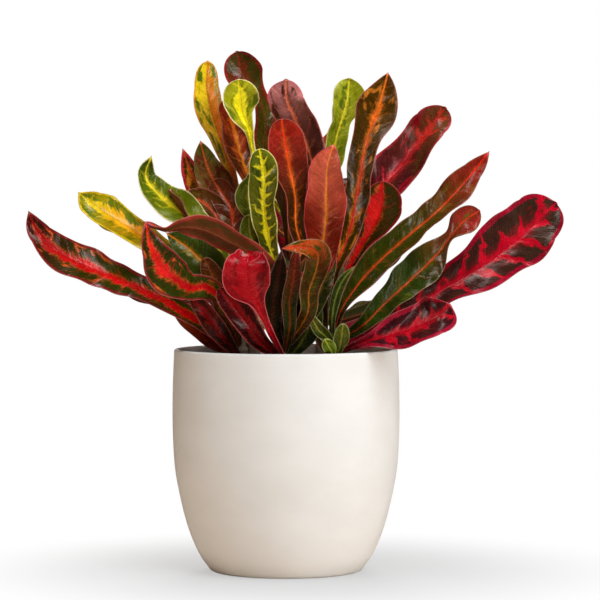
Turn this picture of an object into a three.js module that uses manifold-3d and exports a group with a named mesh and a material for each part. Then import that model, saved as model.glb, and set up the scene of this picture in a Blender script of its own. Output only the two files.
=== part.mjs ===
// A potted croton: a rounded ceramic planter filled with soil, and seven leafy stems
// whose long spoon, strap and lance shaped leaves fan out over the rim.
// Millimetres, +Z up. The origin is the centre of the planter's foot, and the front is -Y.
import * as THREE from "three";
import { mergeVertices } from "three/addons/utils/BufferGeometryUtils.js";
import Module from "manifold-3d";

const wasm = await Module();
wasm.setup();

// Planter
const WALL = 3.2;
const FLOOR = 6;
const FOOT_RADIUS = 47;
const POT_HEIGHT = 149.5;
const POT_SIDES = 48;
const POT_STEPS = 10;
const LIP_STEPS = 3;
const INNER_CORNER = 2;
const POT_COLOUR = "#ece7e0";
const POT_ROUGHNESS = 0.6;
// radius and height of the outside, from above the foot's rounded edge to below the lip
const POT_OUTLINE = [
  [52, 2],
  [58.5, 11.5],
  [64.5, 25],
  [68.6, 38.3],
  [72.3, 54.5],
  [75, 71],
  [76.3, 95],
  [76.3, 122],
  [75.3, 148],
];

// Soil
const CLEARANCE = 0.3;
const SOIL_TOP = 133;
const SOIL_CROWN = 2.5;
const SOIL_SIDES = POT_SIDES / 2;
const SOIL_STEPS = 3;
const SOIL_CORNER = 3;
const SOIL_SHOULDER = 2;
const HOLE_SIDES = 12;
const DRILL_RUNOUT = 5;
const SOIL_COLOUR = "#2c2019";
const SOIL_ROUGHNESS = 0.95;

// Stems: where each one leaves the soil, where its top leans to, its top's height and its radius
const STEM_FOOT = 116;
const STEM_SIDES = 8;
const STEM_STEPS = 4;
const STEM_TAPER = 0.55;
const BUD = 5;
const LEAN_POWER = 2;
const STEMS = {
  left: { foot: [-30, -6], head: [-38, -12], top: 202, radius: 4.2 },
  right: { foot: [32, -6], head: [38, -10], top: 200, radius: 4.2 },
  front: { foot: [-1, -32], head: [-2, -42], top: 208, radius: 4.2 },
  heart: { foot: [2, 4], head: [4, 6], top: 244, radius: 4.4 },
  back_left: { foot: [-22, 36], head: [-27, 46], top: 220, radius: 4.2 },
  back_right: { foot: [24, 36], head: [30, 46], top: 216, radius: 4.2 },
  shoot: { foot: [31, -43], head: [33, -46], top: 150, radius: 2.4 },
};

// Leaves
const PETIOLE = 1.4;
const RIB_THICKNESS = 1.5;
const EDGE_THICKNESS = 0.7;
const TIP_HALF_WIDTH = 0.5;
const LEAST_HALF_WIDTH = 1.2;
const ROUND_TIP = { share: 2, width: 0.5 };
const POINTED_TIP = { share: 1.5, width: 0.9 };
const LEAST_FOLD = 0.14;
const FOLD_SPREAD = 0.16;
const FOLD_POWER = 1.4;
const RIPPLE = 0.17;
const WAVES = 2;
const GOLDEN = 0.618;
const LONG_RIB = 3;
const SHORT_RIB_STEPS = 2;
const TIP_STEPS = 3;
const ACROSS = 2;
const NUDGE = 0.02;
const LEAF_ROUGHNESS = 0.35;
const STEM_COLOURS = {
  left: "#7c2018",
  right: "#8e1428",
  front: "#7d3a1c",
  heart: "#7a8a24",
  back_left: "#4d5a1e",
  back_right: "#6e2a1e",
  shoot: "#6b7a2a",
};

// The leaves seen from the front are placed by where they stand in a front view,
// from this far away and at this height.
const VIEW_DISTANCE = 2018;
const VIEW_HEIGHT = 247;
const TOWARDS_VIEWER = new THREE.Vector3(0, -1, 0);
const UPWARDS = new THREE.Vector3(0, 0, 1);

// Name, stem, height of the leaf's foot on the stem, form of its tip, and its rib from foot to
// tip: across, up, depth, turn of the face in degrees, half width.
const FRONT_LEAVES = [
  ["far_left", "left", 150, "pointed", [
    [-55, 165.5, -22, 35, 7], [-86, 184, -32, 38, 8.8], [-118.5, 198.5, -42, 38, 11.2],
    [-148, 211, -50, 36, 14.4], [-165.5, 226, -54, 20, 7.8], [-173, 242, -54, 0, 0]]],
  ["left_curl", "left", 172, "pointed", [
    [-50, 189, -30, 10, 7], [-66, 191, -42, 15, 9.5], [-80, 201, -54, 10, 13.6],
    [-90, 216, -62, 20, 8.5], [-95, 234, -64, 30, 0]]],
  ["left_yellow", "left", 182, "pointed", [
    [-60, 204, 0, 40, 5.2], [-84, 216, 4, 38, 8], [-100.5, 227.5, 4, 36, 10],
    [-119, 239, 2, 34, 14], [-130.5, 247, 0, 25, 9], [-139.5, 254.5, -2, 0, 0]]],
  ["left_green", "left", 165, "pointed", [
    [-38, 182, -16, 20, 8], [-48, 198, -19, 15, 11.5], [-57, 209, -21, 10, 12.5],
    [-68, 219, -22, 10, 9], [-80, 227, -22, 0, 0]]],
  ["left_low_red", "front", 143, "round", [
    [-16, 153, -42, 0, 5.5], [-25, 165, -45, 5, 8], [-35, 178, -44, 5, 8],
    [-45, 190, -40, 0, 0]]],
  ["left_low_brown", "left", 144, "pointed", [
    [-40, 154, -26, 10, 5], [-49, 166, -31, 10, 6.8], [-58, 178, -33, 10, 5.6],
    [-67, 188, -33, 0, 0]]],
  ["left_low_dark", "left", 146, "pointed", [
    [-47, 153, -12, 10, 5], [-58, 163, -18, 15, 7.6], [-70, 175, -22, 15, 6.4],
    [-82, 187, -24, 0, 0]]],
  ["left_low_green", "left", 150, "round", [
    [-36, 164, -20, 10, 5.5], [-42, 180, -24, 10, 7.6], [-48, 196, -25, 5, 7],
    [-55, 211, -24, 0, 0]]],
  ["left_lime", "left", 198, "pointed", [
    [-50, 225, -10, 35, 8], [-64, 236.5, -8, 38, 11.8], [-81.5, 249, -4, 34, 12],
    [-94, 265, 0, 20, 6.8], [-90.5, 279, 0, 0, 0]]],
  ["left_brown", "left", 192, "pointed", [
    [-44, 224, 2, 30, 7.5], [-47, 238, 6, 30, 11], [-57, 248.5, 8, 25, 8.8],
    [-69.5, 254.5, 10, 0, 0]]],
  ["left_shade", "left", 199, "round", [
    [-36, 226, 6, 10, 8], [-37, 243, 10, 10, 10], [-43, 254, 12, 10, 8.5],
    [-49, 263, 12, 0, 0]]],
  ["left_spear", "back_left", 208, "pointed", [
    [-45, 234, 38, 0, 6], [-56, 252, 34, 0, 8.5], [-63.5, 267, 30, 0, 6.3],
    [-69.5, 284, 28, 0, 0]]],
  ["left_tall", "back_left", 200, "pointed", [
    [-32, 230, 36, -10, 7], [-39, 247, 32, -10, 10], [-48.5, 263, 28, -5, 11.2],
    [-54, 276, 26, 0, 7.8], [-57.5, 289, 25, 0, 0]]],
  ["amber_tall", "back_left", 214, "round", [
    [-31, 242, 44, -20, 3], [-36, 265, 38, -30, 4], [-43.5, 289, 34, -38, 8.8],
    [-49.5, 307, 32, -38, 11], [-53, 325, 31, -30, 9.4], [-52.5, 342.5, 32, -10, 0]]],
  ["heart_dark", "heart", 222, "round", [
    [-16, 240, 10, 30, 5.5], [-24, 262, 12, 38, 9], [-32, 284, 12, 38, 11.5],
    [-37, 302, 12, 30, 9], [-41, 317, 12, 10, 0]]],
  ["lime_spoon", "heart", 232, "round", [
    [-17, 262, -10, 0, 2.5], [-22.5, 284, -13, 0, 2], [-25, 297, -15, 0, 3.6],
    [-29.5, 308, -17, 0, 8.2], [-30.8, 319, -19, 0, 12], [-32, 330.5, -21, 0, 0]]],
  ["top_dark", "heart", 236, "round", [
    [-13, 262, 20, 10, 6], [-15, 285, 22, 15, 8], [-14.5, 303, 22, 35, 9], [-19, 318, 22, 62, 9],
    [-28.5, 333, 22, 10, 13.4], [-33, 349, 22, 0, 0]]],
  ["veined_front", "front", 192, "round", [
    [-9, 212, -46, -15, 5], [-13, 230, -54, -25, 7.8], [-15, 248, -61, -28, 9.2],
    [-14.5, 266, -67, -22, 10.4], [-18, 284, -71, 0, 0]]],
  ["green_behind", "front", 186, "pointed", [
    [-14, 222, -41, 0, 6], [-20, 238, -44, 0, 7], [-25.5, 251, -47, 0, 8.5],
    [-22, 263, -48, 0, 5], [-19, 274, -48, 0, 0]]],
  ["green_low", "front", 182, "round", [
    [-12, 203, -40, 0, 6], [-19, 215, -44, 0, 8.5], [-24, 227, -46, 0, 6.5],
    [-25, 240, -47, 0, 0]]],
  ["maroon_bridge", "front", 200, "pointed", [
    [-22, 213, -50, 150, 7], [-38, 221.5, -56, 155, 9.6], [-55, 229.5, -60, 150, 9],
    [-70, 231.5, -62, 140, 6], [-81, 229.5, -61, 105, 5], [-96, 235, -59, 50, 0]]],
  ["crimson_fold", "front", 144, "round", [
    [-9, 158, -56, 0, 2.2], [-15, 171, -64, 0, 2.8], [-20, 182, -72, 0, 5.5],
    [-25, 193, -80, -6, 14.5], [-26, 204, -85, -10, 15], [-25, 211.5, -82, -14, 9.5],
    [-24, 214, -76, -10, 0]]],
  ["red_centre", "front", 200, "round", [
    [10, 214, -44, 15, 4], [6.5, 233, -50, 25, 6], [6, 252, -56, 28, 7.8],
    [2.5, 270, -60, 26, 11.6], [-0.5, 287, -64, 20, 12.8], [-3, 304, -66, 0, 0]]],
  ["rose_centre", "front", 196, "pointed", [
    [20, 200, -44, -10, 6], [25, 220, -50, -20, 11.6], [27, 238, -56, -24, 14.8],
    [27.5, 256, -62, -22, 12.4], [28, 272, -66, -15, 10.4], [32, 287, -69, 0, 0]]],
  ["bronze_curl", "front", 150, "pointed", [
    [14, 172, -60, 0, 5], [15.5, 188, -67, 0, 6.3], [20.5, 203, -73, 0, 7.5],
    [21, 214, -79, 0, 8], [11, 218, -85, 0, 4.5], [-2.5, 217, -89, 0, 0]]],
  ["narrow_centre", "front", 146, "round", [
    [2.5, 164, -52, 0, 4], [2.5, 182, -56, 0, 5], [5, 197, -59, 0, 4.6], [7, 216, -61, 0, 0]]],
  ["front_dark", "front", 148, "pointed", [
    [-8, 162, -44, 10, 5], [-9, 180, -47, 5, 6.5], [-5, 198, -49, 0, 5.5],
    [-3, 216, -50, 0, 0]]],
  ["front_olive", "front", 152, "round", [
    [13, 168, -40, -10, 5], [21, 184, -44, -10, 6.5], [27, 200, -47, -5, 6],
    [31, 216, -48, 0, 0]]],
  ["front_deep", "front", 145, "pointed", [
    [-4, 160, -38, -5, 5], [-10, 178, -38, -5, 6.4], [-14, 196, -38, 0, 6],
    [-16, 214, -38, 0, 0]]],
  ["front_moss", "front", 142, "round", [
    [8, 151, -38, 10, 5.2], [15, 163, -38, 10, 7.4], [18, 180, -37, 5, 6.4],
    [18, 200, -36, 0, 0]]],
  ["pink_top", "heart", 238, "round", [
    [20, 260, -6, -25, 8.8], [17.5, 276, -8, -30, 13.4], [12.5, 291, -10, -30, 15],
    [6, 305, -12, -28, 14.8], [0.8, 317, -14, -20, 12.2], [0, 330, -16, 0, 0]]],
  ["lime_right", "heart", 232, "round", [
    [24, 255, 6, 30, 4.6], [30, 274, 8, 38, 7.4], [33.5, 290, 8, 38, 8.4], [37, 303, 8, 35, 9],
    [41, 317, 8, 28, 11.4], [42.5, 331, 8, 10, 0]]],
  ["heart_low_left", "heart", 146, "round", [
    [-5, 162, -8, -10, 5.5], [-11, 182, -12, -10, 7.4], [-15, 202, -14, -5, 6.6],
    [-17, 220, -14, 0, 0]]],
  ["heart_low_right", "heart", 149, "pointed", [
    [9, 166, -8, 10, 5.5], [16, 186, -12, 10, 7.2], [21, 206, -14, 5, 6.4],
    [24, 226, -14, 0, 0]]],
  ["long_bronze", "right", 182, "pointed", [
    [32, 200, -34, -15, 4], [41, 223, -36, -25, 6.8], [47, 247, -36, -35, 11.4],
    [51, 271, -34, -38, 11], [55, 292, -32, -30, 10.4], [62.5, 312, -31, -15, 13.8],
    [68.5, 335, -30, 0, 0]]],
  ["upper_crimson", "right", 194, "round", [
    [50, 236, 2, -25, 7.4], [65, 257.5, 4, -34, 15], [78, 272.5, 6, -36, 17],
    [89.5, 288, 6, -34, 15], [98.5, 300, 6, -25, 11.6], [107, 311.5, 6, 0, 0]]],
  ["red_disc", "right", 182, "round", [
    [44, 205, -16, 0, 4], [52.5, 221, -17, 0, 5], [60.5, 235, -18, 0, 11.4],
    [64.5, 247.5, -19, 0, 12.6], [65, 262, -20, 0, 0]]],
  ["right_green", "right", 162, "pointed", [
    [40, 180, -22, -25, 4], [57, 202, -26, -38, 9.8], [79, 222.5, -30, -42, 11.2],
    [101, 241, -32, -40, 11], [115, 255.5, -32, -30, 10.6], [126, 268.5, -31, -15, 6.6],
    [136.5, 282, -30, 0, 0]]],
  ["right_waisted", "right", 154, "round", [
    [51, 164.5, -36, -25, 5], [67, 180, -45, -38, 10.4], [85.5, 197, -54, -40, 13.6],
    [100.5, 211.5, -60, -35, 11.4], [110.5, 224.5, -64, -52, 6.4], [119.5, 235, -66, -15, 9.2],
    [130, 242.5, -66, 0, 0]]],
  ["great_crimson", "right", 150, "round", [
    [56, 156, -14, -30, 6.8], [80, 173.5, -18, -30, 10.8], [107, 190, -21, -26, 13.6],
    [133.5, 206, -24, -22, 17.8], [155, 223, -26, -18, 20.6], [169.5, 236, -27, -16, 18],
    [181.5, 247.5, -27, 0, 0]]],
  ["low_crimson", "right", 146, "round", [
    [54, 154.5, -48, -20, 4], [72, 159, -60, -33, 11], [89.5, 165, -70, -36, 15.4],
    [102, 171.5, -77, -26, 14], [110.5, 179, -82, 0, 0]]],
  ["right_sage", "right", 148, "pointed", [
    [31, 166, -40, 0, 2], [33, 182, -44, 0, 3.4], [38, 195, -47, 0, 3.2], [46, 205, -48, 0, 0]]],
  ["right_low_dark", "right", 143, "round", [
    [24, 156, -22, 15, 5], [21, 174, -27, 15, 6.8], [24, 194, -29, 10, 6.2],
    [30, 212, -30, 0, 0]]],
  ["shoot_broad", "shoot", 141, "round", [
    [36, 150, -52, 0, 3], [37.5, 157, -55, 0, 5.2], [38.5, 166.5, -57, 0, 0]]],
  ["shoot_pale", "shoot", 139, "round", [
    [31, 147, -54, 0, 2.5], [29, 151, -57, 0, 4.4], [26, 156, -59, 0, 0]]],
  ["shoot_curl", "shoot", 144, "pointed", [
    [28, 156, -50, 0, 3.4], [21.5, 163, -52, 0, 4], [14.5, 177, -52, 0, 0]]],
];

// Front leaves that have a partner of like form behind them, on the same sight line.
const PARTNERED = [
  "far_left", "left_curl", "left_yellow", "left_green", "left_lime", "left_tall",
  "amber_tall", "top_dark", "maroon_bridge", "veined_front", "red_centre", "pink_top",
  "rose_centre", "lime_right", "long_bronze", "upper_crimson", "red_disc", "right_green",
  "right_waisted", "great_crimson",
];
const PARTNER = {
  nearest: 52,
  reach: 34,
  further: 44,
  bend: 1.2,
  narrower: 0.88,
  footDrop: 16,
  lowestFoot: 152,
  split: -8,
};

// Leaves by rule round a stem: how many, lowest foot, rise, first azimuth and its step, length
// and how much it changes, steepness, droop, half width.
const WHORLS = [
  { stem: "heart", count: 9, foot: 144, rise: 9, azimuth: 20, step: 137.5, length: 72,
    change: 20, steep: 66, droop: 0.03, half: 8 },
  { stem: "left", count: 4, foot: 146, rise: 13, azimuth: 84, step: 30, length: 74,
    change: 16, steep: 60, droop: 0.05, half: 8 },
  { stem: "right", count: 4, foot: 146, rise: 13, azimuth: 86, step: -25, length: 72,
    change: 14, steep: 62, droop: 0.04, half: 8 },
  { stem: "back_left", count: 5, foot: 152, rise: 12, azimuth: 200, step: -24, length: 86,
    change: 22, steep: 46, droop: 0.16, half: 10 },
  { stem: "back_right", count: 5, foot: 168, rise: 10, azimuth: -16, step: 23, length: 86,
    change: 22, steep: 48, droop: 0.16, half: 10 },
  { stem: "back_left", count: 3, foot: 143, rise: 3, azimuth: 88, step: 28, length: 84,
    change: 18, steep: 24, droop: 0.12, half: 9 },
  { stem: "back_right", count: 3, foot: 144, rise: 3, azimuth: 92, step: -28, length: 82,
    change: 20, steep: 26, droop: 0.12, half: 9 },
];
const WHORL_OUTLINE = [
  [0.22, 0.34],
  [0.48, 0.62],
  [0.78, 1],
  [1, 0],
];

const radians = THREE.MathUtils.degToRad;
const fraction = (value) => value - Math.floor(value);
const WELD = 1e-3;

function solidFrom(geometry) {
  geometry.deleteAttribute("normal");
  geometry.deleteAttribute("uv");
  const merged = mergeVertices(geometry, WELD);
  return new wasm.Manifold(
    new wasm.Mesh({
      numProp: 3,
      vertProperties: merged.attributes.position.array,
      triVerts: new Uint32Array(merged.index.array),
    }),
  );
}

function geometryFrom(solid) {
  const mesh = solid.getMesh();
  const geometry = new THREE.BufferGeometry();
  geometry.setAttribute("position", new THREE.BufferAttribute(mesh.vertProperties, 3));
  geometry.setIndex(new THREE.BufferAttribute(mesh.triVerts, 1));
  geometry.computeVertexNormals();
  return geometry;
}

function named(name, geometry, colour, roughness) {
  const finish = new THREE.MeshStandardMaterial({ color: colour, roughness, metalness: 0 });
  const mesh = new THREE.Mesh(geometry, finish);
  mesh.name = name;
  return mesh;
}

// Turned pieces: a profile of [radius, height] points, spun round the upright axis.

function turned(profile, sides) {
  const points = profile.map(([r, z]) => new THREE.Vector2(r, z));
  return new THREE.LatheGeometry(points, sides).rotateX(Math.PI / 2);
}

function outerWall() {
  const outline = new THREE.SplineCurve(POT_OUTLINE.map(([r, z]) => new THREE.Vector2(r, z)));
  return outline.getPoints(POT_STEPS);
}

// The outside moved inwards by some distance, square to the wall.
function insetWall(distance) {
  const outer = outerWall();
  return outer.map((point, i) => {
    const below = outer[Math.max(i - 1, 0)];
    const above = outer[Math.min(i + 1, outer.length - 1)];
    const along = above.clone().sub(below).normalize();
    return [point.x - distance * along.y, point.y + distance * along.x];
  });
}

function potGeometry() {
  const outside = outerWall().map((point) => [point.x, point.y]);
  const inside = insetWall(WALL).filter(([, z]) => z > FLOOR + INNER_CORNER);
  const lipRadius = WALL / 2;
  const lipCentre = outside.at(-1)[0] - lipRadius;
  const lip = [];
  for (let i = 1; i < LIP_STEPS; i += 1) {
    const angle = (Math.PI * i) / LIP_STEPS;
    const r = lipCentre + lipRadius * Math.cos(angle);
    lip.push([r, POT_HEIGHT - lipRadius * (1 - Math.sin(angle))]);
  }
  const profile = [
    [0, 0],
    [FOOT_RADIUS, 0],
    ...outside,
    ...lip,
    ...inside.reverse(),
    [inside.at(-1)[0] - INNER_CORNER, FLOOR],
    [0, FLOOR],
  ];
  return turned(profile, POT_SIDES);
}

function soilSolid() {
  const sink = FLOOR + CLEARANCE;
  const bottom = FLOOR + INNER_CORNER;
  const shoulder = SOIL_TOP - SOIL_SHOULDER;
  const side = insetWall(WALL + CLEARANCE).filter(([, z]) => z > bottom && z < shoulder);
  const rim = side.at(-1)[0] - 2 * CLEARANCE;
  const crown = [];
  for (let i = 0; i < SOIL_STEPS; i += 1) {
    const r = rim * (1 - i / SOIL_STEPS);
    crown.push([r, SOIL_TOP + SOIL_CROWN * (1 - (r / rim) ** 2)]);
  }
  const profile = [
    [0, sink],
    [side[0][0] - SOIL_CORNER, sink],
    ...side,
    ...crown,
    [0, SOIL_TOP + SOIL_CROWN],
  ];
  return solidFrom(turned(profile, SOIL_SIDES));
}

function holeFor({ foot, radius }) {
  const wide = radius / Math.cos(Math.PI / HOLE_SIDES) + CLEARANCE;
  const depth = SOIL_TOP + SOIL_CROWN + DRILL_RUNOUT - STEM_FOOT;
  const drill = new THREE.CylinderGeometry(wide, wide, depth, HOLE_SIDES);
  drill.rotateX(Math.PI / 2);
  drill.translate(foot[0], foot[1], STEM_FOOT - CLEARANCE + depth / 2);
  return solidFrom(drill);
}

// Stems: upright in the soil, then leaning more and more towards their heads.

function stemPoint({ foot, head, top }, height) {
  const rise = THREE.MathUtils.clamp((height - SOIL_TOP) / (top - SOIL_TOP), 0, 1);
  const lean = rise ** LEAN_POWER;
  return new THREE.Vector3(
    THREE.MathUtils.lerp(foot[0], head[0], lean),
    THREE.MathUtils.lerp(foot[1], head[1], lean),
    height,
  );
}

function stemSolid(stem) {
  const rings = [[STEM_FOOT, stem.radius]];
  for (let i = 0; i <= STEM_STEPS; i += 1) {
    const share = i / STEM_STEPS;
    const height = THREE.MathUtils.lerp(SOIL_TOP, stem.top, share);
    rings.push([height, THREE.MathUtils.lerp(stem.radius, stem.radius * STEM_TAPER, share)]);
  }
  const positions = [];
  for (const [height, radius] of rings) {
    const centre = stemPoint(stem, height);
    for (let k = 0; k < STEM_SIDES; k += 1) {
      const angle = (2 * Math.PI * k) / STEM_SIDES;
      const x = centre.x + radius * Math.cos(angle);
      const y = centre.y + radius * Math.sin(angle);
      positions.push(x, y, height);
    }
  }
  const base = stemPoint(stem, STEM_FOOT);
  const bud = stemPoint(stem, stem.top);
  positions.push(base.x, base.y, STEM_FOOT, bud.x, bud.y, stem.top + BUD);
  const below = rings.length * STEM_SIDES;
  const last = below - STEM_SIDES;
  const faces = [];
  for (let k = 0; k < STEM_SIDES; k += 1) {
    const next = (k + 1) % STEM_SIDES;
    for (let ring = 0; ring < rings.length - 1; ring += 1) {
      const low = ring * STEM_SIDES;
      const high = low + STEM_SIDES;
      faces.push(low + k, low + next, high + next, low + k, high + next, high + k);
    }
    faces.push(below, next, k, below + 1, last + k, last + next);
  }
  return meshSolid(positions, faces);
}

function meshSolid(positions, faces) {
  const geometry = new THREE.BufferGeometry();
  geometry.setAttribute("position", new THREE.Float32BufferAttribute(positions, 3));
  geometry.setIndex(faces);
  return solidFrom(geometry);
}

// A leaf is a list of rib points {place, turn, half}, from its foot to its tip.

function onSightLine(across, up, depth) {
  const widen = 1 + depth / VIEW_DISTANCE;
  return new THREE.Vector3(across * widen, depth, VIEW_HEIGHT + (up - VIEW_HEIGHT) * widen);
}

function footOn(stem, height, turn) {
  return { place: stemPoint(STEMS[stem], height), turn, half: PETIOLE };
}

function frontLeaf([, stem, foot, tip, rows], index) {
  const rib = rows.map(([across, up, depth, turn, half]) => (
    { place: onSightLine(across, up, depth), turn, half }
  ));
  rib.unshift(footOn(stem, foot, rows[0][3]));
  return { stem, tip, index, facing: TOWARDS_VIEWER, rib };
}

function partnerLeaf(name, index) {
  const [, , , tip, rows] = FRONT_LEAVES.find(([given]) => given === name);
  const reach = PARTNER.reach + PARTNER.further * fraction(index * GOLDEN);
  const last = rows.length - 1;
  const rib = rows.slice(1).map(([across, up, , turn, half], i) => ({
    place: onSightLine(across, up, PARTNER.nearest + reach * ((i + 1) / last) ** PARTNER.bend),
    turn: 180 - turn,
    half: half * PARTNER.narrower,
  }));
  const stem = rows[1][0] < PARTNER.split ? "back_left" : "back_right";
  const height = Math.max(rows[1][1] - PARTNER.footDrop, PARTNER.lowestFoot);
  rib.unshift(footOn(stem, Math.min(height, STEMS[stem].top), rib[0].turn));
  return { stem, tip, index, facing: TOWARDS_VIEWER, rib };
}

function whorlLeaf(whorl, index) {
  const height = whorl.foot + whorl.rise * index;
  const foot = footOn(whorl.stem, height, 0);
  const azimuth = radians(whorl.azimuth + whorl.step * index);
  const length = whorl.length + whorl.change * fraction(index * GOLDEN);
  const out = Math.cos(radians(whorl.steep)) * length;
  const rise = Math.sin(radians(whorl.steep)) * length;
  const rib = WHORL_OUTLINE.map(([share, width]) => ({
    place: new THREE.Vector3(
      foot.place.x + out * share * Math.cos(azimuth),
      foot.place.y + out * share * Math.sin(azimuth),
      foot.place.z + rise * share - whorl.droop * length * share ** 2,
    ),
    turn: 0,
    half: whorl.half * width,
  }));
  return { stem: whorl.stem, tip: "round", index, facing: UPWARDS, rib: [foot, ...rib] };
}

function smooth(before, from, to, after, share) {
  const square = share * share;
  return 0.5 * (2 * from + (to - before) * share
    + (2 * before - 5 * from + 4 * to - after) * square
    + (3 * from - before - 3 * to + after) * square * share);
}

// The rib as a smooth line: place, turn and half width at a share of the way along one span.
function alongRib(rib, span, share) {
  const rows = rib.map(({ place, turn, half }) => [place.x, place.y, place.z, turn, half]);
  const from = rows[span];
  const to = rows[span + 1];
  const before = rows[span - 1] ?? from.map((value, k) => 2 * value - to[k]);
  const after = rows[span + 2] ?? to.map((value, k) => 2 * value - from[k]);
  return from.map((value, k) => smooth(before[k], value, to[k], after[k], share));
}

function tipWidth(tip, half, share) {
  const form = tip === "round" ? ROUND_TIP : POINTED_TIP;
  return Math.max(TIP_HALF_WIDTH, half * (1 - share ** form.share) ** form.width);
}

function stationsOf(rib) {
  const spans = rib.length - 1;
  const steps = spans > LONG_RIB ? 1 : SHORT_RIB_STEPS;
  const stations = [];
  for (let span = 0; span < spans - 1; span += 1) {
    for (let k = 0; k < steps; k += 1) {
      stations.push([span, k / steps]);
    }
  }
  for (let k = 0; k <= TIP_STEPS; k += 1) {
    stations.push([spans - 1, Math.sin((Math.PI / 2) * (k / TIP_STEPS))]);
  }
  return stations;
}

// Directions at a station: along the rib, across the blade and out of its upper face.
function frameAt(rib, span, share, turn, facing) {
  const ahead = alongRib(rib, span, Math.min(share + NUDGE, 1));
  const behind = alongRib(rib, span, Math.max(share - NUDGE, 0));
  const along = new THREE.Vector3(...ahead).sub(new THREE.Vector3(...behind)).normalize();
  const square = facing.clone().addScaledVector(along, -facing.dot(along)).normalize();
  const upper = square.applyAxisAngle(along, radians(turn));
  return { across: along.clone().cross(upper), upper };
}

function liftAt(half, side, way, index) {
  const fold = LEAST_FOLD + FOLD_SPREAD * fraction(index * GOLDEN);
  const ripple = Math.sin(2 * Math.PI * (WAVES * way + GOLDEN * index + side / 4));
  return half * (fold * Math.abs(side) ** FOLD_POWER + RIPPLE * side * side * ripple);
}

function bladeSolid({ rib, tip, index, facing }) {
  const stations = stationsOf(rib);
  const spans = rib.length - 1;
  const upperFace = [];
  const lowerFace = [];
  for (const [span, share] of stations) {
    const [x, y, z, turn, wide] = alongRib(rib, span, share);
    const { across, upper } = frameAt(rib, span, share, turn, facing);
    const half = span === spans - 1
      ? tipWidth(tip, rib[spans - 1].half, share)
      : Math.max(wide, LEAST_HALF_WIDTH);
    for (let k = 0; k <= ACROSS; k += 1) {
      const side = (2 * k) / ACROSS - 1;
      const thick = THREE.MathUtils.lerp(RIB_THICKNESS, EDGE_THICKNESS, Math.abs(side));
      const middle = new THREE.Vector3(x, y, z)
        .addScaledVector(across, half * side)
        .addScaledVector(upper, liftAt(half, side, (span + share) / spans, index));
      upperFace.push(middle.clone().addScaledVector(upper, thick / 2));
      lowerFace.push(middle.clone().addScaledVector(upper, -thick / 2));
    }
  }
  const positions = [...upperFace, ...lowerFace].flatMap((point) => point.toArray());
  return meshSolid(positions, bladeFaces(stations.length));
}

// Both faces are split into the same triangles, and a narrow wall closes the edge all round.
function bladeFaces(count) {
  const row = ACROSS + 1;
  const under = count * row;
  const faces = [];
  for (let i = 0; i < count - 1; i += 1) {
    for (let k = 0; k < ACROSS; k += 1) {
      const a = i * row + k;
      const b = a + row;
      faces.push(a, a + 1, b + 1, a, b + 1, b);
      faces.push(under + a, under + b + 1, under + a + 1);
      faces.push(under + a, under + b, under + b + 1);
    }
    const left = i * row;
    const right = left + ACROSS;
    faces.push(left, left + row, under + left + row);
    faces.push(left, under + left + row, under + left);
    faces.push(right, under + right + row, right + row);
    faces.push(right, under + right, under + right + row);
  }
  const end = (count - 1) * row;
  for (let k = 0; k < ACROSS; k += 1) {
    const last = end + k;
    faces.push(k, under + k, under + k + 1);
    faces.push(k, under + k + 1, k + 1);
    faces.push(last, last + 1, under + last + 1);
    faces.push(last, under + last + 1, under + last);
  }
  return faces;
}

function allLeaves() {
  const whorls = WHORLS.flatMap((whorl) => (
    Array.from({ length: whorl.count }, (unused, index) => whorlLeaf(whorl, index))
  ));
  return [...FRONT_LEAVES.map(frontLeaf), ...PARTNERED.map(partnerLeaf), ...whorls];
}

function leafyStemGeometry(name, leaves) {
  const grown = leaves
    .filter(({ stem }) => stem === name)
    .map(bladeSolid)
    .reduce((whole, leaf) => whole.add(leaf), stemSolid(STEMS[name]));
  return geometryFrom(grown);
}

const group = new THREE.Group();
group.add(named("pot", potGeometry(), POT_COLOUR, POT_ROUGHNESS));

const holes = Object.values(STEMS).map(holeFor);
const soil = holes.reduce((whole, hole) => whole.subtract(hole), soilSolid());
group.add(named("soil", geometryFrom(soil), SOIL_COLOUR, SOIL_ROUGHNESS));

const leaves = allLeaves();
for (const [name, colour] of Object.entries(STEM_COLOURS)) {
  const geometry = leafyStemGeometry(name, leaves);
  group.add(named(name + "_stem", geometry, colour, LEAF_ROUGHNESS));
}

export default group;
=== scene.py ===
import math
from collections import namedtuple

import bpy
import numpy as np
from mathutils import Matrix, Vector


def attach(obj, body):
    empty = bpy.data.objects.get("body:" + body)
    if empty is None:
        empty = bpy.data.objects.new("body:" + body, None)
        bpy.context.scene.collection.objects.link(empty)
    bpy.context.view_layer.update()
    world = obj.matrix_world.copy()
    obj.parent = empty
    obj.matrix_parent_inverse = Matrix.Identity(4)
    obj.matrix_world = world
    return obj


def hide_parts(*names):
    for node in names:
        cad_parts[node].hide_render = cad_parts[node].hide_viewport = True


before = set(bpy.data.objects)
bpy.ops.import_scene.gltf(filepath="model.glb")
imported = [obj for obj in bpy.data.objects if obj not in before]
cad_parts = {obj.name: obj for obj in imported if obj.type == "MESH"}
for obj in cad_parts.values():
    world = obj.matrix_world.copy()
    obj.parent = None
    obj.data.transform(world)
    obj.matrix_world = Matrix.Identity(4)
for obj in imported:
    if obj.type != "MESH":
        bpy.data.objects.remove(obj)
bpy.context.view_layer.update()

# Everything below is in millimetres until a mesh is made. +Z is up and the front is -Y.
MM = 0.001

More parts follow.
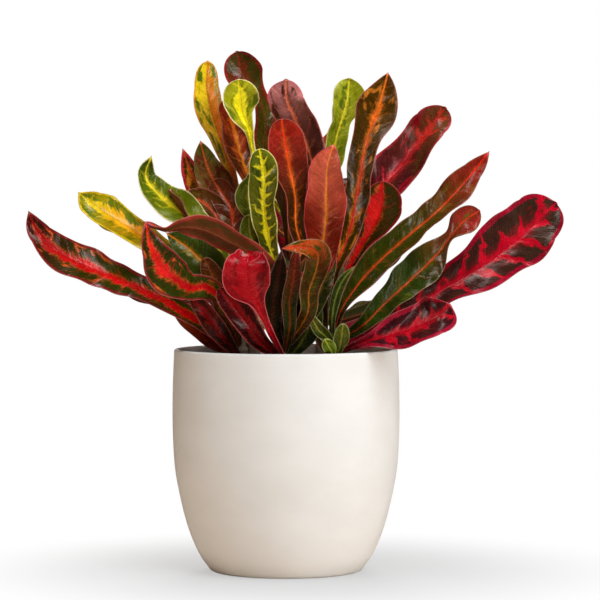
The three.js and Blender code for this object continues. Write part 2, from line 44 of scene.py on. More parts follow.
# Planter
WALL = 3.2
FLOOR = 6.0
FLOOR_CORNER = 2.0
FOOT_RADIUS = 47.0
FOOT_ROUNDING = [(2.6, 0.25), (4.1, 1.0)]
POT_HEIGHT = 149.5
POT_SIDES = 160
POT_STEPS = 8
LIP_STEPS = 9
POT_OUTLINE = np.array([
    [52, 2], [58.5, 11.5], [64.5, 25], [68.6, 38.3], [72.3, 54.5], [75, 71], [76.3, 95],
    [76.3, 122], [75.3, 148]])

# Soil: its body, its crown and the swells on it
SOIL_TOP = 133.0
SOIL_CROWN = 2.5
SOIL_SINK = 0.9
SOIL_RADIUS = 72.4
SOIL_GAP = 0.3
SOIL_BASE = 12.0
SOIL_UNDERSIDE = 8.0
SOIL_CORNER = 3.0
SOIL_CALM = 9.0
SOIL_RINGS = 64
SOIL_SIDES = 200
SOIL_RELIEF = 1.3
SOIL_SEED = 5
SWELLS = {"octaves": 5, "waves": 7, "pace": 0.16, "finer": 1.9, "weaker": 0.6,
          "start": 6.3}

# Crumbs, bark chips and pale grains lying on the soil: up to which share of the draws, size,
# flatness, colour
CRUMBS = 520
CRUMB_SEED = 11
CRUMB_SIDES = 8
CRUMB_LEVELS = (-0.7, 0.0, 0.7)
CRUMB_LUMPS = (0.75, 1.15)
CRUMB_WIDTHS = (0.5, 1)
CRUMB_SHADES = (0.7, 1.25)
CRUMB_RISE = 0.25
CRUMB_CLEARANCE = 4.0
CRUMB_KINDS = [
    (0.55, (0.7, 2.4), (0.5, 0.9), (0.035, 0.02, 0.012)),
    (0.86, (0.7, 2.4), (0.25, 0.5), (0.13, 0.07, 0.035)),
    (1.0, (0.7, 1.5), (0.25, 0.5), (0.55, 0.52, 0.46)),
]
SOIL_TONE = (0.05, 0.03, 0.018)

# Stems: foot and head of each, height of its head, radius
STEM_FOOT = 116.0
STEM_SUNK = 4.0
STEM_SIDES = 20
STEM_RINGS = 70
STEM_TAPER = 0.55
STEM_WOBBLE = 0.05
STEM_FLUTES = 3
STEM_TWIST = 0.35
NODE_SWELLING = 0.13
NODE_DROP = 1.2
NODE_HALF = 1.5
BUD = 5.0
BUD_HEIGHTS = np.array([0.25, 0.5, 0.72, 0.88, 1.0])
BUD_RADII = np.array([0.92, 0.75, 0.52, 0.3, 0.06])
STEMS = {
    "left": ([-30, -6], [-38, -12], 202, 4.2),
    "right": ([32, -6], [38, -10], 200, 4.2),
    "front": ([-1, -32], [-2, -42], 208, 4.2),
    "heart": ([2, 4], [4, 6], 244, 4.4),
    "back_left": ([-22, 36], [-27, 46], 220, 4.2),
    "back_right": ([24, 36], [30, 46], 216, 4.2),
    "shoot": ([31, -43], [33, -46], 150, 2.4),
}

# Leaves: the rules that give their form
PETIOLE = 1.4
RIB_THICKNESS = 1.1
EDGE_THICKNESS = 0.5
STALK_DEPTH = 1.7
STALK_HALF = 1.6
STALK_FADE = 2.4
STALK_EDGE = 0.04
TIP_HALF_WIDTH = 0.35
LEAST_HALF_WIDTH = 1.2
TIP_FORMS = {"round": (2, 0.5), "pointed": (1.5, 0.9)}
LEAST_FOLD = 0.14
FOLD_SPREAD = 0.16
FOLD_POWER = 1.4
RIPPLE = 0.17
RIPPLE_LAG = 0.25
WAVES = 2
FLUTTER = 0.07
FLUTTER_LENGTH = 31.0
FLUTTER_POWER = 2.5
FLUTTER_LAG = 0.22
FLUTTER_DRIFT = 0.35
DRIFT_LENGTH = 17.0
WANDER = 0.055
WANDER_LENGTH = 41.0
WANDER_LAG = 0.25
GROOVE_DEPTH = 0.35
GROOVE_HALF = 0.9
KEEL_DEPTH = 0.9
KEEL_HALF = 1.1
LEAST_KEEL = 0.2
RIB_FADE_HALF = 5.0
RIB_FADE_TIP = 6.0
GOLDEN = 0.618
NUDGE = 0.02
SPAN_STEPS = 11
TIP_STEPS = 18
SIDE_STATIONS = np.array([
    -1, -0.95, -0.86, -0.73, -0.58, -0.43, -0.29, -0.17, -0.08,
    0, 0.08, 0.17, 0.29, 0.43, 0.58, 0.73, 0.86, 0.95, 1])

# How each leaf's seed follows from its place in its own list: first seed and step
FRONT_SEEDS = (0, 1.7)
PARTNER_SEEDS = (90, 2.3)
WHORL_SEEDS = (160, 3.1)

VIEW_DISTANCE = 2018.0
VIEW_HEIGHT = 247.0
TOWARDS_VIEWER = np.array([0.0, -1.0, 0.0])
UPWARDS = np.array([0.0, 0.0, 1.0])

# Name, stem, height of the leaf's foot on the stem, form of its tip, and its rib from foot to
# tip: across, up, depth, turn of the face in degrees, half width.
FRONT_LEAVES = [
    ["far_left", "left", 150, "pointed", [
        [-55, 165.5, -22, 35, 7], [-86, 184, -32, 38, 8.8], [-118.5, 198.5, -42, 38, 11.2],
        [-148, 211, -50, 36, 14.4], [-165.5, 226, -54, 20, 7.8], [-173, 242, -54, 0, 0]]],
    ["left_curl", "left", 172, "pointed", [
        [-50, 189, -30, 10, 7], [-66, 191, -42, 15, 9.5], [-80, 201, -54, 10, 13.6],
        [-90, 216, -62, 20, 8.5], [-95, 234, -64, 30, 0]]],
    ["left_yellow", "left", 182, "pointed", [
        [-60, 204, 0, 40, 5.2], [-84, 216, 4, 38, 8], [-100.5, 227.5, 4, 36, 10],
        [-119, 239, 2, 34, 14], [-130.5, 247, 0, 25, 9], [-139.5, 254.5, -2, 0, 0]]],
    ["left_green", "left", 165, "pointed", [
        [-38, 182, -16, 20, 8], [-48, 198, -19, 15, 11.5], [-57, 209, -21, 10, 12.5],
        [-68, 219, -22, 10, 9], [-80, 227, -22, 0, 0]]],
    ["left_low_red", "front", 143, "round", [
        [-16, 153, -42, 0, 5.5], [-25, 165, -45, 5, 8], [-35, 178, -44, 5, 8],
        [-45, 190, -40, 0, 0]]],
    ["left_low_brown", "left", 144, "pointed", [
        [-40, 154, -26, 10, 5], [-49, 166, -31, 10, 6.8], [-58, 178, -33, 10, 5.6],
        [-67, 188, -33, 0, 0]]],
    ["left_low_dark", "left", 146, "pointed", [
        [-47, 153, -12, 10, 5], [-58, 163, -18, 15, 7.6], [-70, 175, -22, 15, 6.4],
        [-82, 187, -24, 0, 0]]],
    ["left_low_green", "left", 150, "round", [
        [-36, 164, -20, 10, 5.5], [-42, 180, -24, 10, 7.6], [-48, 196, -25, 5, 7],
        [-55, 211, -24, 0, 0]]],
    ["left_lime", "left", 198, "pointed", [
        [-50, 225, -10, 35, 8], [-64, 236.5, -8, 38, 11.8], [-81.5, 249, -4, 34, 12],
        [-94, 265, 0, 20, 6.8], [-90.5, 279, 0, 0, 0]]],
    ["left_brown", "left", 192, "pointed", [
        [-44, 224, 2, 30, 7.5], [-47, 238, 6, 30, 11], [-57, 248.5, 8, 25, 8.8],
        [-69.5, 254.5, 10, 0, 0]]],
    ["left_shade", "left", 199, "round", [
        [-36, 226, 6, 10, 8], [-37, 243, 10, 10, 10], [-43, 254, 12, 10, 8.5],
        [-49, 263, 12, 0, 0]]],
    ["left_spear", "back_left", 208, "pointed", [
        [-45, 234, 38, 0, 6], [-56, 252, 34, 0, 8.5], [-63.5, 267, 30, 0, 6.3],
        [-69.5, 284, 28, 0, 0]]],
    ["left_tall", "back_left", 200, "pointed", [
        [-32, 230, 36, -10, 7], [-39, 247, 32, -10, 10], [-48.5, 263, 28, -5, 11.2],
        [-54, 276, 26, 0, 7.8], [-57.5, 289, 25, 0, 0]]],
    ["amber_tall", "back_left", 214, "round", [
        [-31, 242, 44, -20, 3], [-36, 265, 38, -30, 4], [-43.5, 289, 34, -38, 8.8],
        [-49.5, 307, 32, -38, 11], [-53, 325, 31, -30, 9.4], [-52.5, 342.5, 32, -10, 0]]],
    ["heart_dark", "heart", 222, "round", [
        [-16, 240, 10, 30, 5.5], [-24, 262, 12, 38, 9], [-32, 284, 12, 38, 11.5],
        [-37, 302, 12, 30, 9], [-41, 317, 12, 10, 0]]],
    ["lime_spoon", "heart", 232, "round", [
        [-17, 262, -10, 0, 2.5], [-22.5, 284, -13, 0, 2], [-25, 297, -15, 0, 3.6],
        [-29.5, 308, -17, 0, 8.2], [-30.8, 319, -19, 0, 12], [-32, 330.5, -21, 0, 0]]],
    ["top_dark", "heart", 236, "round", [
        [-13, 262, 20, 10, 6], [-15, 285, 22, 15, 8], [-14.5, 303, 22, 35, 9],
        [-19, 318, 22, 62, 9], [-28.5, 333, 22, 10, 13.4], [-33, 349, 22, 0, 0]]],
    ["veined_front", "front", 192, "round", [
        [-9, 212, -46, -15, 5], [-13, 230, -54, -25, 7.8], [-15, 248, -61, -28, 9.2],
        [-14.5, 266, -67, -22, 10.4], [-18, 284, -71, 0, 0]]],
    ["green_behind", "front", 186, "pointed", [
        [-14, 222, -41, 0, 6], [-20, 238, -44, 0, 7], [-25.5, 251, -47, 0, 8.5],
        [-22, 263, -48, 0, 5], [-19, 274, -48, 0, 0]]],
    ["green_low", "front", 182, "round", [
        [-12, 203, -40, 0, 6], [-19, 215, -44, 0, 8.5], [-24, 227, -46, 0, 6.5],
        [-25, 240, -47, 0, 0]]],
    ["maroon_bridge", "front", 200, "pointed", [
        [-22, 213, -50, 150, 7], [-38, 221.5, -56, 155, 9.6], [-55, 229.5, -60, 150, 9],
        [-70, 231.5, -62, 140, 6], [-81, 229.5, -61, 105, 5], [-96, 235, -59, 50, 0]]],
    ["crimson_fold", "front", 144, "round", [
        [-9, 158, -56, 0, 2.2], [-15, 171, -64, 0, 2.8], [-20, 182, -72, 0, 5.5],
        [-25, 193, -80, -6, 14.5], [-26, 204, -85, -10, 15], [-25, 211.5, -82, -14, 9.5],
        [-24, 214, -76, -10, 0]]],
    ["red_centre", "front", 200, "round", [
        [10, 214, -44, 15, 4], [6.5, 233, -50, 25, 6], [6, 252, -56, 28, 7.8],
        [2.5, 270, -60, 26, 11.6], [-0.5, 287, -64, 20, 12.8], [-3, 304, -66, 0, 0]]],
    ["rose_centre", "front", 196, "pointed", [
        [20, 200, -44, -10, 6], [25, 220, -50, -20, 11.6], [27, 238, -56, -24, 14.8],
        [27.5, 256, -62, -22, 12.4], [28, 272, -66, -15, 10.4], [32, 287, -69, 0, 0]]],
    ["bronze_curl", "front", 150, "pointed", [
        [14, 172, -60, 0, 5], [15.5, 188, -67, 0, 6.3], [20.5, 203, -73, 0, 7.5],
        [21, 214, -79, 0, 8], [11, 218, -85, 0, 4.5], [-2.5, 217, -89, 0, 0]]],
    ["narrow_centre", "front", 146, "round", [
        [2.5, 164, -52, 0, 4], [2.5, 182, -56, 0, 5], [5, 197, -59, 0, 4.6],
        [7, 216, -61, 0, 0]]],
    ["front_dark", "front", 148, "pointed", [
        [-8, 162, -44, 10, 5], [-9, 180, -47, 5, 6.5], [-5, 198, -49, 0, 5.5],
        [-3, 216, -50, 0, 0]]],
    ["front_olive", "front", 152, "round", [
        [13, 168, -40, -10, 5], [21, 184, -44, -10, 6.5], [27, 200, -47, -5, 6],
        [31, 216, -48, 0, 0]]],
    ["front_deep", "front", 145, "pointed", [
        [-4, 160, -38, -5, 5], [-10, 178, -38, -5, 6.4], [-14, 196, -38, 0, 6],
        [-16, 214, -38, 0, 0]]],
    ["front_moss", "front", 142, "round", [
        [8, 151, -38, 10, 5.2], [15, 163, -38, 10, 7.4], [18, 180, -37, 5, 6.4],
        [18, 200, -36, 0, 0]]],
    ["pink_top", "heart", 238, "round", [
        [20, 260, -6, -25, 8.8], [17.5, 276, -8, -30, 13.4], [12.5, 291, -10, -30, 15],
        [6, 305, -12, -28, 14.8], [0.8, 317, -14, -20, 12.2], [0, 330, -16, 0, 0]]],
    ["lime_right", "heart", 232, "round", [
        [24, 255, 6, 30, 4.6], [30, 274, 8, 38, 7.4], [33.5, 290, 8, 38, 8.4],
        [37, 303, 8, 35, 9], [41, 317, 8, 28, 11.4], [42.5, 331, 8, 10, 0]]],
    ["heart_low_left", "heart", 146, "round", [
        [-5, 162, -8, -10, 5.5], [-11, 182, -12, -10, 7.4], [-15, 202, -14, -5, 6.6],
        [-17, 220, -14, 0, 0]]],
    ["heart_low_right", "heart", 149, "pointed", [
        [9, 166, -8, 10, 5.5], [16, 186, -12, 10, 7.2], [21, 206, -14, 5, 6.4],
        [24, 226, -14, 0, 0]]],
    ["long_bronze", "right", 182, "pointed", [
        [32, 200, -34, -15, 4], [41, 223, -36, -25, 6.8], [47, 247, -36, -35, 11.4],
        [51, 271, -34, -38, 11], [55, 292, -32, -30, 10.4], [62.5, 312, -31, -15, 13.8],
        [68.5, 335, -30, 0, 0]]],
    ["upper_crimson", "right", 194, "round", [
        [50, 236, 2, -25, 7.4], [65, 257.5, 4, -34, 15], [78, 272.5, 6, -36, 17],
        [89.5, 288, 6, -34, 15], [98.5, 300, 6, -25, 11.6], [107, 311.5, 6, 0, 0]]],
    ["red_disc", "right", 182, "round", [
        [44, 205, -16, 0, 4], [52.5, 221, -17, 0, 5], [60.5, 235, -18, 0, 11.4],
        [64.5, 247.5, -19, 0, 12.6], [65, 262, -20, 0, 0]]],
    ["right_green", "right", 162, "pointed", [
        [40, 180, -22, -25, 4], [57, 202, -26, -38, 9.8], [79, 222.5, -30, -42, 11.2],
        [101, 241, -32, -40, 11], [115, 255.5, -32, -30, 10.6], [126, 268.5, -31, -15, 6.6],
        [136.5, 282, -30, 0, 0]]],
    ["right_waisted", "right", 154, "round", [
        [51, 164.5, -36, -25, 5], [67, 180, -45, -38, 10.4], [85.5, 197, -54, -40, 13.6],
        [100.5, 211.5, -60, -35, 11.4], [110.5, 224.5, -64, -52, 6.4],
        [119.5, 235, -66, -15, 9.2], [130, 242.5, -66, 0, 0]]],
    ["great_crimson", "right", 150, "round", [
        [56, 156, -14, -30, 6.8], [80, 173.5, -18, -30, 10.8], [107, 190, -21, -26, 13.6],
        [133.5, 206, -24, -22, 17.8], [155, 223, -26, -18, 20.6], [169.5, 236, -27, -16, 18],
        [181.5, 247.5, -27, 0, 0]]],
    ["low_crimson", "right", 146, "round", [
        [54, 154.5, -48, -20, 4], [72, 159, -60, -33, 11], [89.5, 165, -70, -36, 15.4],
        [102, 171.5, -77, -26, 14], [110.5, 179, -82, 0, 0]]],
    ["right_sage", "right", 148, "pointed", [
        [31, 166, -40, 0, 2], [33, 182, -44, 0, 3.4], [38, 195, -47, 0, 3.2],
        [46, 205, -48, 0, 0]]],
    ["right_low_dark", "right", 143, "round", [
        [24, 156, -22, 15, 5], [21, 174, -27, 15, 6.8], [24, 194, -29, 10, 6.2],
        [30, 212, -30, 0, 0]]],
    ["shoot_broad", "shoot", 141, "round", [
        [36, 150, -52, 0, 3], [37.5, 157, -55, 0, 5.2], [38.5, 166.5, -57, 0, 0]]],
    ["shoot_pale", "shoot", 139, "round", [
        [31, 147, -54, 0, 2.5], [29, 151, -57, 0, 4.4], [26, 156, -59, 0, 0]]],
    ["shoot_curl", "shoot", 144, "pointed", [
        [28, 156, -50, 0, 3.4], [21.5, 163, -52, 0, 4], [14.5, 177, -52, 0, 0]]],
]

# Front leaves that have a partner of like form behind them, on the same sight line.
PARTNERED = [
    "far_left", "left_curl", "left_yellow", "left_green", "left_lime", "left_tall",
    "amber_tall", "top_dark", "maroon_bridge", "veined_front", "red_centre", "pink_top",
    "rose_centre", "lime_right", "long_bronze", "upper_crimson", "red_disc", "right_green",
    "right_waisted", "great_crimson",
]
PARTNER = {"nearest": 52, "reach": 34, "further": 44, "bend": 1.2, "narrower": 0.88,
           "foot_drop": 16, "lowest_foot": 152, "split": -8}

# Leaves by rule round a stem: stem, how many, lowest foot, rise, first azimuth and its step,
# length and how much it changes, steepness, droop, half width.
WHORLS = [
    ("heart", 9, 144, 9, 20, 137.5, 72, 20, 66, 0.03, 8),
    ("left", 4, 146, 13, 84, 30, 74, 16, 60, 0.05, 8),
    ("right", 4, 146, 13, 86, -25, 72, 14, 62, 0.04, 8),
    ("back_left", 5, 152, 12, 200, -24, 86, 22, 46, 0.16, 10),
    ("back_right", 5, 168, 10, -16, 23, 86, 22, 48, 0.16, 10),
    ("back_left", 3, 143, 3, 88, 28, 84, 18, 24, 0.12, 9),
    ("back_right", 3, 144, 3, 92, -28, 82, 20, 26, 0.12, 9),
]
WHORL_OUTLINE = [(0.22, 0.34), (0.48, 0.62), (0.78, 1), (1, 0)]

# Leaf colours: ground at the base and at the tip, band along the rib at the base and at the
# tip, patches and the band's fringe, margin, underside. Then the band's half width as a share of
# the blade, how much wider it is on the right half, how plainly the side veins flare, how much
# is in patches, the margin's width in millimetres, how deeply the band is lobed and how many
# side veins there are to the centimetre.
LOOKS = {
    "far_left": (
        "343804 3c140c c80c10 980c10 b8501c 7a181a 6a2018", 0.27, -0.1, 0.25, 0.16, 1.8, 0.6, 1.3),
    "left_curl": (
        "38400a 34300c cc1418 dc2418 c85c24 8c2024 5c2018", 0.25, 0, 0.35, 0.16, 1.4, 0.7, 1.4),
    "left_yellow": (
        "a8840c 9c940c e8980a e0c818 6c780c e0c020 8c8420", 0.36, 0.3, 0.6, 0.4, 1.4, 0.6, 1.4),
    "left_green": (
        "3c4810 38480f d88a24 d07a1c 8c8018 3c480f 48481c", 0.07, 0, 0.2, 0.1, 0.6, 0.6, 1.4),
    "left_low_red": (
        "300806 4c080a 80080f 900a16 5c1010 8a2028 4e1212", 0.36, 0.2, 0.2, 0.3, 1, 0.6, 1.4),
    "left_low_brown": (
        "40140c 501810 900c16 980f16 6a1f10 7c2420 3e1410", 0.3, 0, 0.2, 0.25, 1, 0.6, 1.6),
    # left_low_dark's colours are lighter than the leaf's own: painted light that lifts a leaf
    # lying in shade.
    "left_low_dark": (
        "9c3c1c a84424 b42c1c a8181a 7c2410 84342c 4c2010", 0.2, 0, 0.2, 0.25, 1, 0.5, 1.6),
    "left_low_green": (
        "502408 5c2c0a 8c3c14 8c4814 5c4c10 64341c 44281a", 0.14, 0, 0.3, 0.3, 0.6, 0.5, 1.6),
    "left_lime": (
        "6c780c 40540a ecd420 d8c428 a8a41c e4d898 84843c", 0.13, 0, 0.3, 0.14, 0.5, 0.7, 1.4),
    "left_spear": (
        "50500c 54300c d87024 c85024 d88024 c0303c 6c3020", 0.14, 0.1, 0.3, 0.3, 2, 0.7, 1.6),
    "left_tall": (
        "9c6838 5c6414 e87038 e07438 783824 84503c 5e3a28", 0.1, 0, 0.15, 0.4, 0.7, 0.4, 1.2),
    "amber_tall": (
        "f0c41c f4d81c e4780c f09c10 6c8410 f0a818 b47c18", 0.48, 1.25, 0.3, 0.44, 1.2, 0.3, 1.4),
    "left_brown": (
        "5c300a 5c380c cc5028 cc5424 70541a 8c3c2c 4c2a18", 0.1, 0.2, 0.1, 0.35, 0.8, 0.7, 1.6),
    "left_shade": (
        "5c2c14 683418 d8542c d05428 743018 7c3830 4c2418", 0.12, 0, 0.2, 0.35, 0.8, 0.5, 1.4),
    "heart_dark": (
        "3c2006 6c2008 c8781c d86814 8c3410 7c3418 5c3018", 0.14, 0.2, 0.3, 0.4, 1, 0.8, 1.4),
    "lime_spoon": (
        "b8b010 a8a80c f4e010 f0e018 6c7c08 f0e2a8 a09c44", 0.34, 0.1, 0.5, 0.35, 0.6, 0.7, 1.6),
    "top_dark": (
        "4c480a 40380a 5c4c10 7c3014 6c2414 8c201c 502818", 0.1, 0.3, 0.2, 0.35, 2.4, 0.6, 1.2),
    "veined_front": (
        "60640a 646c0c e8dc18 ece018 3c4c08 e0d884 747428", 0.18, 0, 0.9, 0.28, 0.5, 0.9, 1.3),
    "green_behind": (
        "54600f 586410 a0a028 a8a828 787c18 b8b070 606424", 0.08, 0, 0.4, 0.2, 0.5, 0.5, 1.6),
    "green_low": (
        "4c5410 505810 8c8c20 90902c 686810 8c844c 4c4c1c", 0.08, 0, 0.4, 0.2, 0.5, 0.5, 1.6),
    "maroon_bridge": (
        "50340a 6c2c0c 7c2c10 9c1c18 7c2814 b8182c 5c380c", 0.16, 0, 0.1, 0.45, 1.8, 0.5, 1.2),
    "crimson_fold": (
        "8c0014 9c0018 a80018 b0001c 6c000c c83c50 88081a", 0.4, 0, 0.3, 0.4, 0.5, 0.5, 1.2),
    "red_centre": (
        "3c2409 8c1c0c f0741c e4380f b0541c a03430 5c2418", 0.09, 0.1, 0.15, 0.12, 0.6, 0.6, 1.4),
    "rose_centre": (
        "8c240c cc6048 f08c28 f08440 c46450 c42c3c 984834", 0.07, 0, 0.2, 0.05, 0.8, 0.7, 1.3),
    "bronze_curl": (
        "442c06 b84c10 a0601c c83c1c 40440a 7c4814 7a3c14", 0.08, 0.1, 0.2, 0.4, 0.5, 0.7, 1.6),
    "narrow_centre": (
        "28340a 6c200f 7c3c10 902c18 5c380f 54241a 44240f", 0.14, 0, 0.1, 0.25, 0.6, 0.6, 1.6),
    "front_dark": (
        "1c1e08 2c180a 44200f 481c12 3c240c 38201a 2c180f", 0.16, 0, 0.2, 0.2, 0.6, 0.6, 1.6),
    "front_olive": (
        "242c08 34340a 7c5c14 705414 50480f 444018 3c3414", 0.12, 0, 0.3, 0.25, 0.6, 0.6, 1.6),
    "front_deep": (
        "141f06 1f2808 3c4410 464c10 2a340a 3c4418 2a2c10", 0.1, 0, 0.2, 0.16, 0.5, 0.5, 1.6),
    "front_moss": (
        "1c2408 30380a 5c5c14 706810 3c440c 54581c 343614", 0.12, 0, 0.3, 0.2, 0.5, 0.6, 1.6),
    "heart_low_left": (
        "101806 1a2008 303410 3c4010 22280a 303014 22200f", 0.1, 0, 0.2, 0.16, 0.5, 0.5, 1.6),
    "heart_low_right": (
        "1a1808 2c180a 4c3410 5c2c10 30240c 40281a 2c1a10", 0.12, 0, 0.2, 0.2, 0.6, 0.5, 1.6),
    # pink_top's pinkish ground towards the tip is partly the leaf's own colour and partly a
    # painted sheen.
    "pink_top": (
        "60281c b87470 f07850 f08058 5c2c24 cc5c68 905448", 0.08, 0, 0.12, 0.2, 0.9, 0.6, 1.2),
    "lime_right": (
        "84900f 9ca01c e4d830 e8dc38 5c6c0c c8cc5c 8c8838", 0.12, 0, 0.3, 0.3, 0.5, 0.6, 1.4),
    "long_bronze": (
        "3c2c04 503404 d0301c f07820 b87020 8c4434 603818", 0.12, 0.2, 0.1, 0.28, 0.7, 0.9, 1.4),
    "upper_crimson": (
        "501418 683818 b80824 b83420 8c0c20 9c2430 64141a", 0.16, -0.1, 0.9, 0.2, 1.6, 0.5, 0.8),
    "red_disc": (
        "402808 40340a c40808 cc0c0c b8501c 94141a 64180f", 0.42, -0.75, 0.15, 0.2, 1.4, 0.5, 1.4),
    "right_green": (
        "384008 8c2418 dc5420 dc2018 70501c 844034 54401a", 0.075, 0, 0.1, 0.16, 0.7, 0.5, 1.2),
    "right_waisted": (
        "2c4008 8c241c cc4c1c cc381c 545c14 5c5020 44401a", 0.06, 0, 0.1, 0.1, 0.6, 0.5, 1.2),
    "great_crimson": (
        "44201c 402c20 b80024 bc0028 88041c 98082c 8c1028", 0.13, 0, 1.5, 0.12, 3.4, 0.6, 0.6),
    "low_crimson": (
        "44101a 44181c b80024 c00028 90041c a00c34 8c1024", 0.16, 0, 1.3, 0.16, 3, 0.6, 0.7),
    "right_sage": (
        "2c3a0c 34400e 6c742c 747c2c 4c541a 545c24 4c5424", 0.1, 0, 0.2, 0.12, 0.5, 0.5, 1.6),
    "right_low_dark": (
        "302808 48180c 5c4814 8c2c14 4c2c10 5c2c18 3c200f", 0.14, 0, 0.2, 0.2, 0.7, 0.6, 1.6),
    "shoot_broad": (
        "4c500c 545810 84842c 8c8c2c 485a10 74843c 4c5a1c", 0.12, 0, 0.3, 0.12, 0.5, 0.5, 1.6),
    "shoot_pale": (
        "60701a 687818 a4ac30 acb438 84982c a8b45c 748438", 0.12, 0, 0.3, 0.12, 0.5, 0.5, 1.6),
    "shoot_curl": (
        "34400c 484c18 84842c 8c7c28 5c601c 7c7c3c 4c5424", 0.12, 0, 0.3, 0.12, 0.5, 0.5, 1.6),
}
WHORL_LOOKS = [
    "veined_front", "upper_crimson", "left_green", "amber_tall", "long_bronze", "left_lime",
    "great_crimson", "right_green", "rose_centre", "left_tall", "far_left",
]

# Leaf markings: lengths along the rib in centimetres, and lengths off it in millimetres. The
# band narrows at the tip and the foot at the given pace, down to the given share.
DEEPEN = 1.1
TIP_COLOUR = (0.42, 0.94)
BAND_TIP = (5, 0.35)
BAND_FOOT = (9, 0.5)
VEIN_RAKE = 0.062
VEIN_SWEEP = 0.02
VEIN_WOBBLE = 1.1
VEIN_STAGGER = 0.43
FLARE_LENGTH = (0.12, 0.8)
FLARE_TAPER = 0.7
FLARE_WIDTH = 0.42
LOBE_DEPTH = 4.0
SPIKE_DEPTH = 2.2
RIB_LINE = (0.35, 0.75)
PATCH_LEVEL = 0.68
PATCH_SPREAD = 0.36
RIM_LINE = (0.16, 0.42)
RIM_PALE = (0.9, 0.66, 0.5, 1)
RELIEF = {"quilt": -0.6, "fibre": 0.3, "rib": -0.8, "fine": 0.05, "swell": 5.5}

# Other finishes, with a darker and a lighter tone where there are two
OLD_BARK = [(0.13, 0.085, 0.052, 1), (0.26, 0.2, 0.14, 1)]
YOUNG_BARK = [(0.11, 0.13, 0.03, 1), (0.2, 0.17, 0.06, 1)]
CERAMIC = [(0.67, 0.662, 0.65, 1), (0.705, 0.697, 0.69, 1)]
CERAMIC_FLECK = (0.5, 0.42, 0.34, 1)
POTTING_MIX = [(0.018, 0.011, 0.007, 1), (0.075, 0.045, 0.026, 1)]

# Studio. The floor's fade and its painted shadow, a tone that darkens the floor by the pot,
# run from and to a distance in metres, and from and to a value. The room's light is the
# strength that it gives, then the one that is mirrored.
WHITE = (1, 1, 1, 1)
FLOOR_RADIUS = 30000
FLOOR_RINGS = 12
FLOOR_SIDES = 64
FLOOR_CENTRE = 0.012
FLOOR_FADE = (0.06, 0.3, 0.8, 1.0)
FLOOR_PAINTED_SHADOW = (0.04, 0.26, 0.625, 1.0)
FLOOR_COLOUR = (0.88, 0.89, 0.9, 1)
FLOOR_BOUNCE = (0.92, 0.77, 0.63, 1)
ROOM_TINT = (1.0, 0.8, 0.62, 1)
ROOM_LIGHT = (0.2, 0.035)
LIT_CENTRE = Vector((0.0, 0.0, 0.18))
FOCAL_PIXELS = 3000
PICTURE = 600
SENSOR = 36
POT_AXIS_OFFSET = 14
SIGHT_HEIGHT = 182.3


def fraction(value):
    return value - np.floor(value)


def smooth(before, start, end, after, share):
    square = share * share
    return 0.5 * (2 * start + (end - before) * share
                  + (2 * before - 5 * start + 4 * end - after) * square
                  + (3 * start - before - 3 * end + after) * square * share)


def along_rows(rows, span, share):
    """Points on the smooth curve through the rows: in which span, and how far along it."""
    ext = np.vstack([2 * rows[0] - rows[1], rows, 2 * rows[-1] - rows[-2]])
    return smooth(ext[span], ext[span + 1], ext[span + 2], ext[span + 3], share[:, None])


def unit(vectors):
    return vectors / np.linalg.norm(vectors, axis=-1, keepdims=True)


def bell(distance, half):
    return np.exp(-(distance / half) ** 2)


def linear(hex_colour):
    """Light from a colour as seen in a picture, a little deeper, as a lit surface needs."""
    channels = np.array([int(hex_colour[i:i + 2], 16) / 255 for i in (0, 2, 4)])
    light = np.where(channels <= 0.04045, channels / 12.92, ((channels + 0.055) / 1.055) ** 2.4)
    return light ** DEEPEN


def stem_point(stem, height):
    foot, head, top, _ = STEMS[stem]
    rise = np.clip((height - SOIL_TOP) / (top - SOIL_TOP), 0, 1) ** 2
    return np.array([foot[0] + (head[0] - foot[0]) * rise,
                     foot[1] + (head[1] - foot[1]) * rise, height])


# Leaves: the rib is a list of rows [x, y, z, turn, half width] from the leaf's foot to its tip

Leaf = namedtuple("Leaf", "stem tip index facing rib look seed")


def new_leaf(stem, tip, index, facing, rib, look, seeds, order):
    return Leaf(stem, tip, index, facing, np.array(rib, float), look,
                seeds[0] + seeds[1] * order)


def on_sight_line(across, up, depth):
    widen = 1 + depth / VIEW_DISTANCE
    return [across * widen, depth, VIEW_HEIGHT + (up - VIEW_HEIGHT) * widen]


def foot_row(stem, height, turn):
    return [*stem_point(stem, height), turn, PETIOLE]


def front_leaf(row, index):
    name, stem, foot, tip, rows = row
    rib = [foot_row(stem, foot, rows[0][3])]
    rib += [on_sight_line(x, z, y) + [turn, half] for x, z, y, turn, half in rows]
    return new_leaf(stem, tip, index, TOWARDS_VIEWER, rib, name, FRONT_SEEDS, index)


def partner_leaf(name, index):
    tip, rows = next(row for row in FRONT_LEAVES if row[0] == name)[3:]
    reach = PARTNER["reach"] + PARTNER["further"] * fraction(index * GOLDEN)
    last = len(rows) - 1
    rib = []
    for i, (x, z, _, turn, half) in enumerate(rows[1:]):
        depth = PARTNER["nearest"] + reach * ((i + 1) / last) ** PARTNER["bend"]
        rib.append(on_sight_line(x, z, depth) + [180 - turn, half * PARTNER["narrower"]])
    stem = "back_left" if rows[1][0] < PARTNER["split"] else "back_right"
    height = max(rows[1][1] - PARTNER["foot_drop"], PARTNER["lowest_foot"])
    rib.insert(0, foot_row(stem, min(height, STEMS[stem][2]), rib[0][3]))
    return new_leaf(stem, tip, index, TOWARDS_VIEWER, rib, name, PARTNER_SEEDS, index)


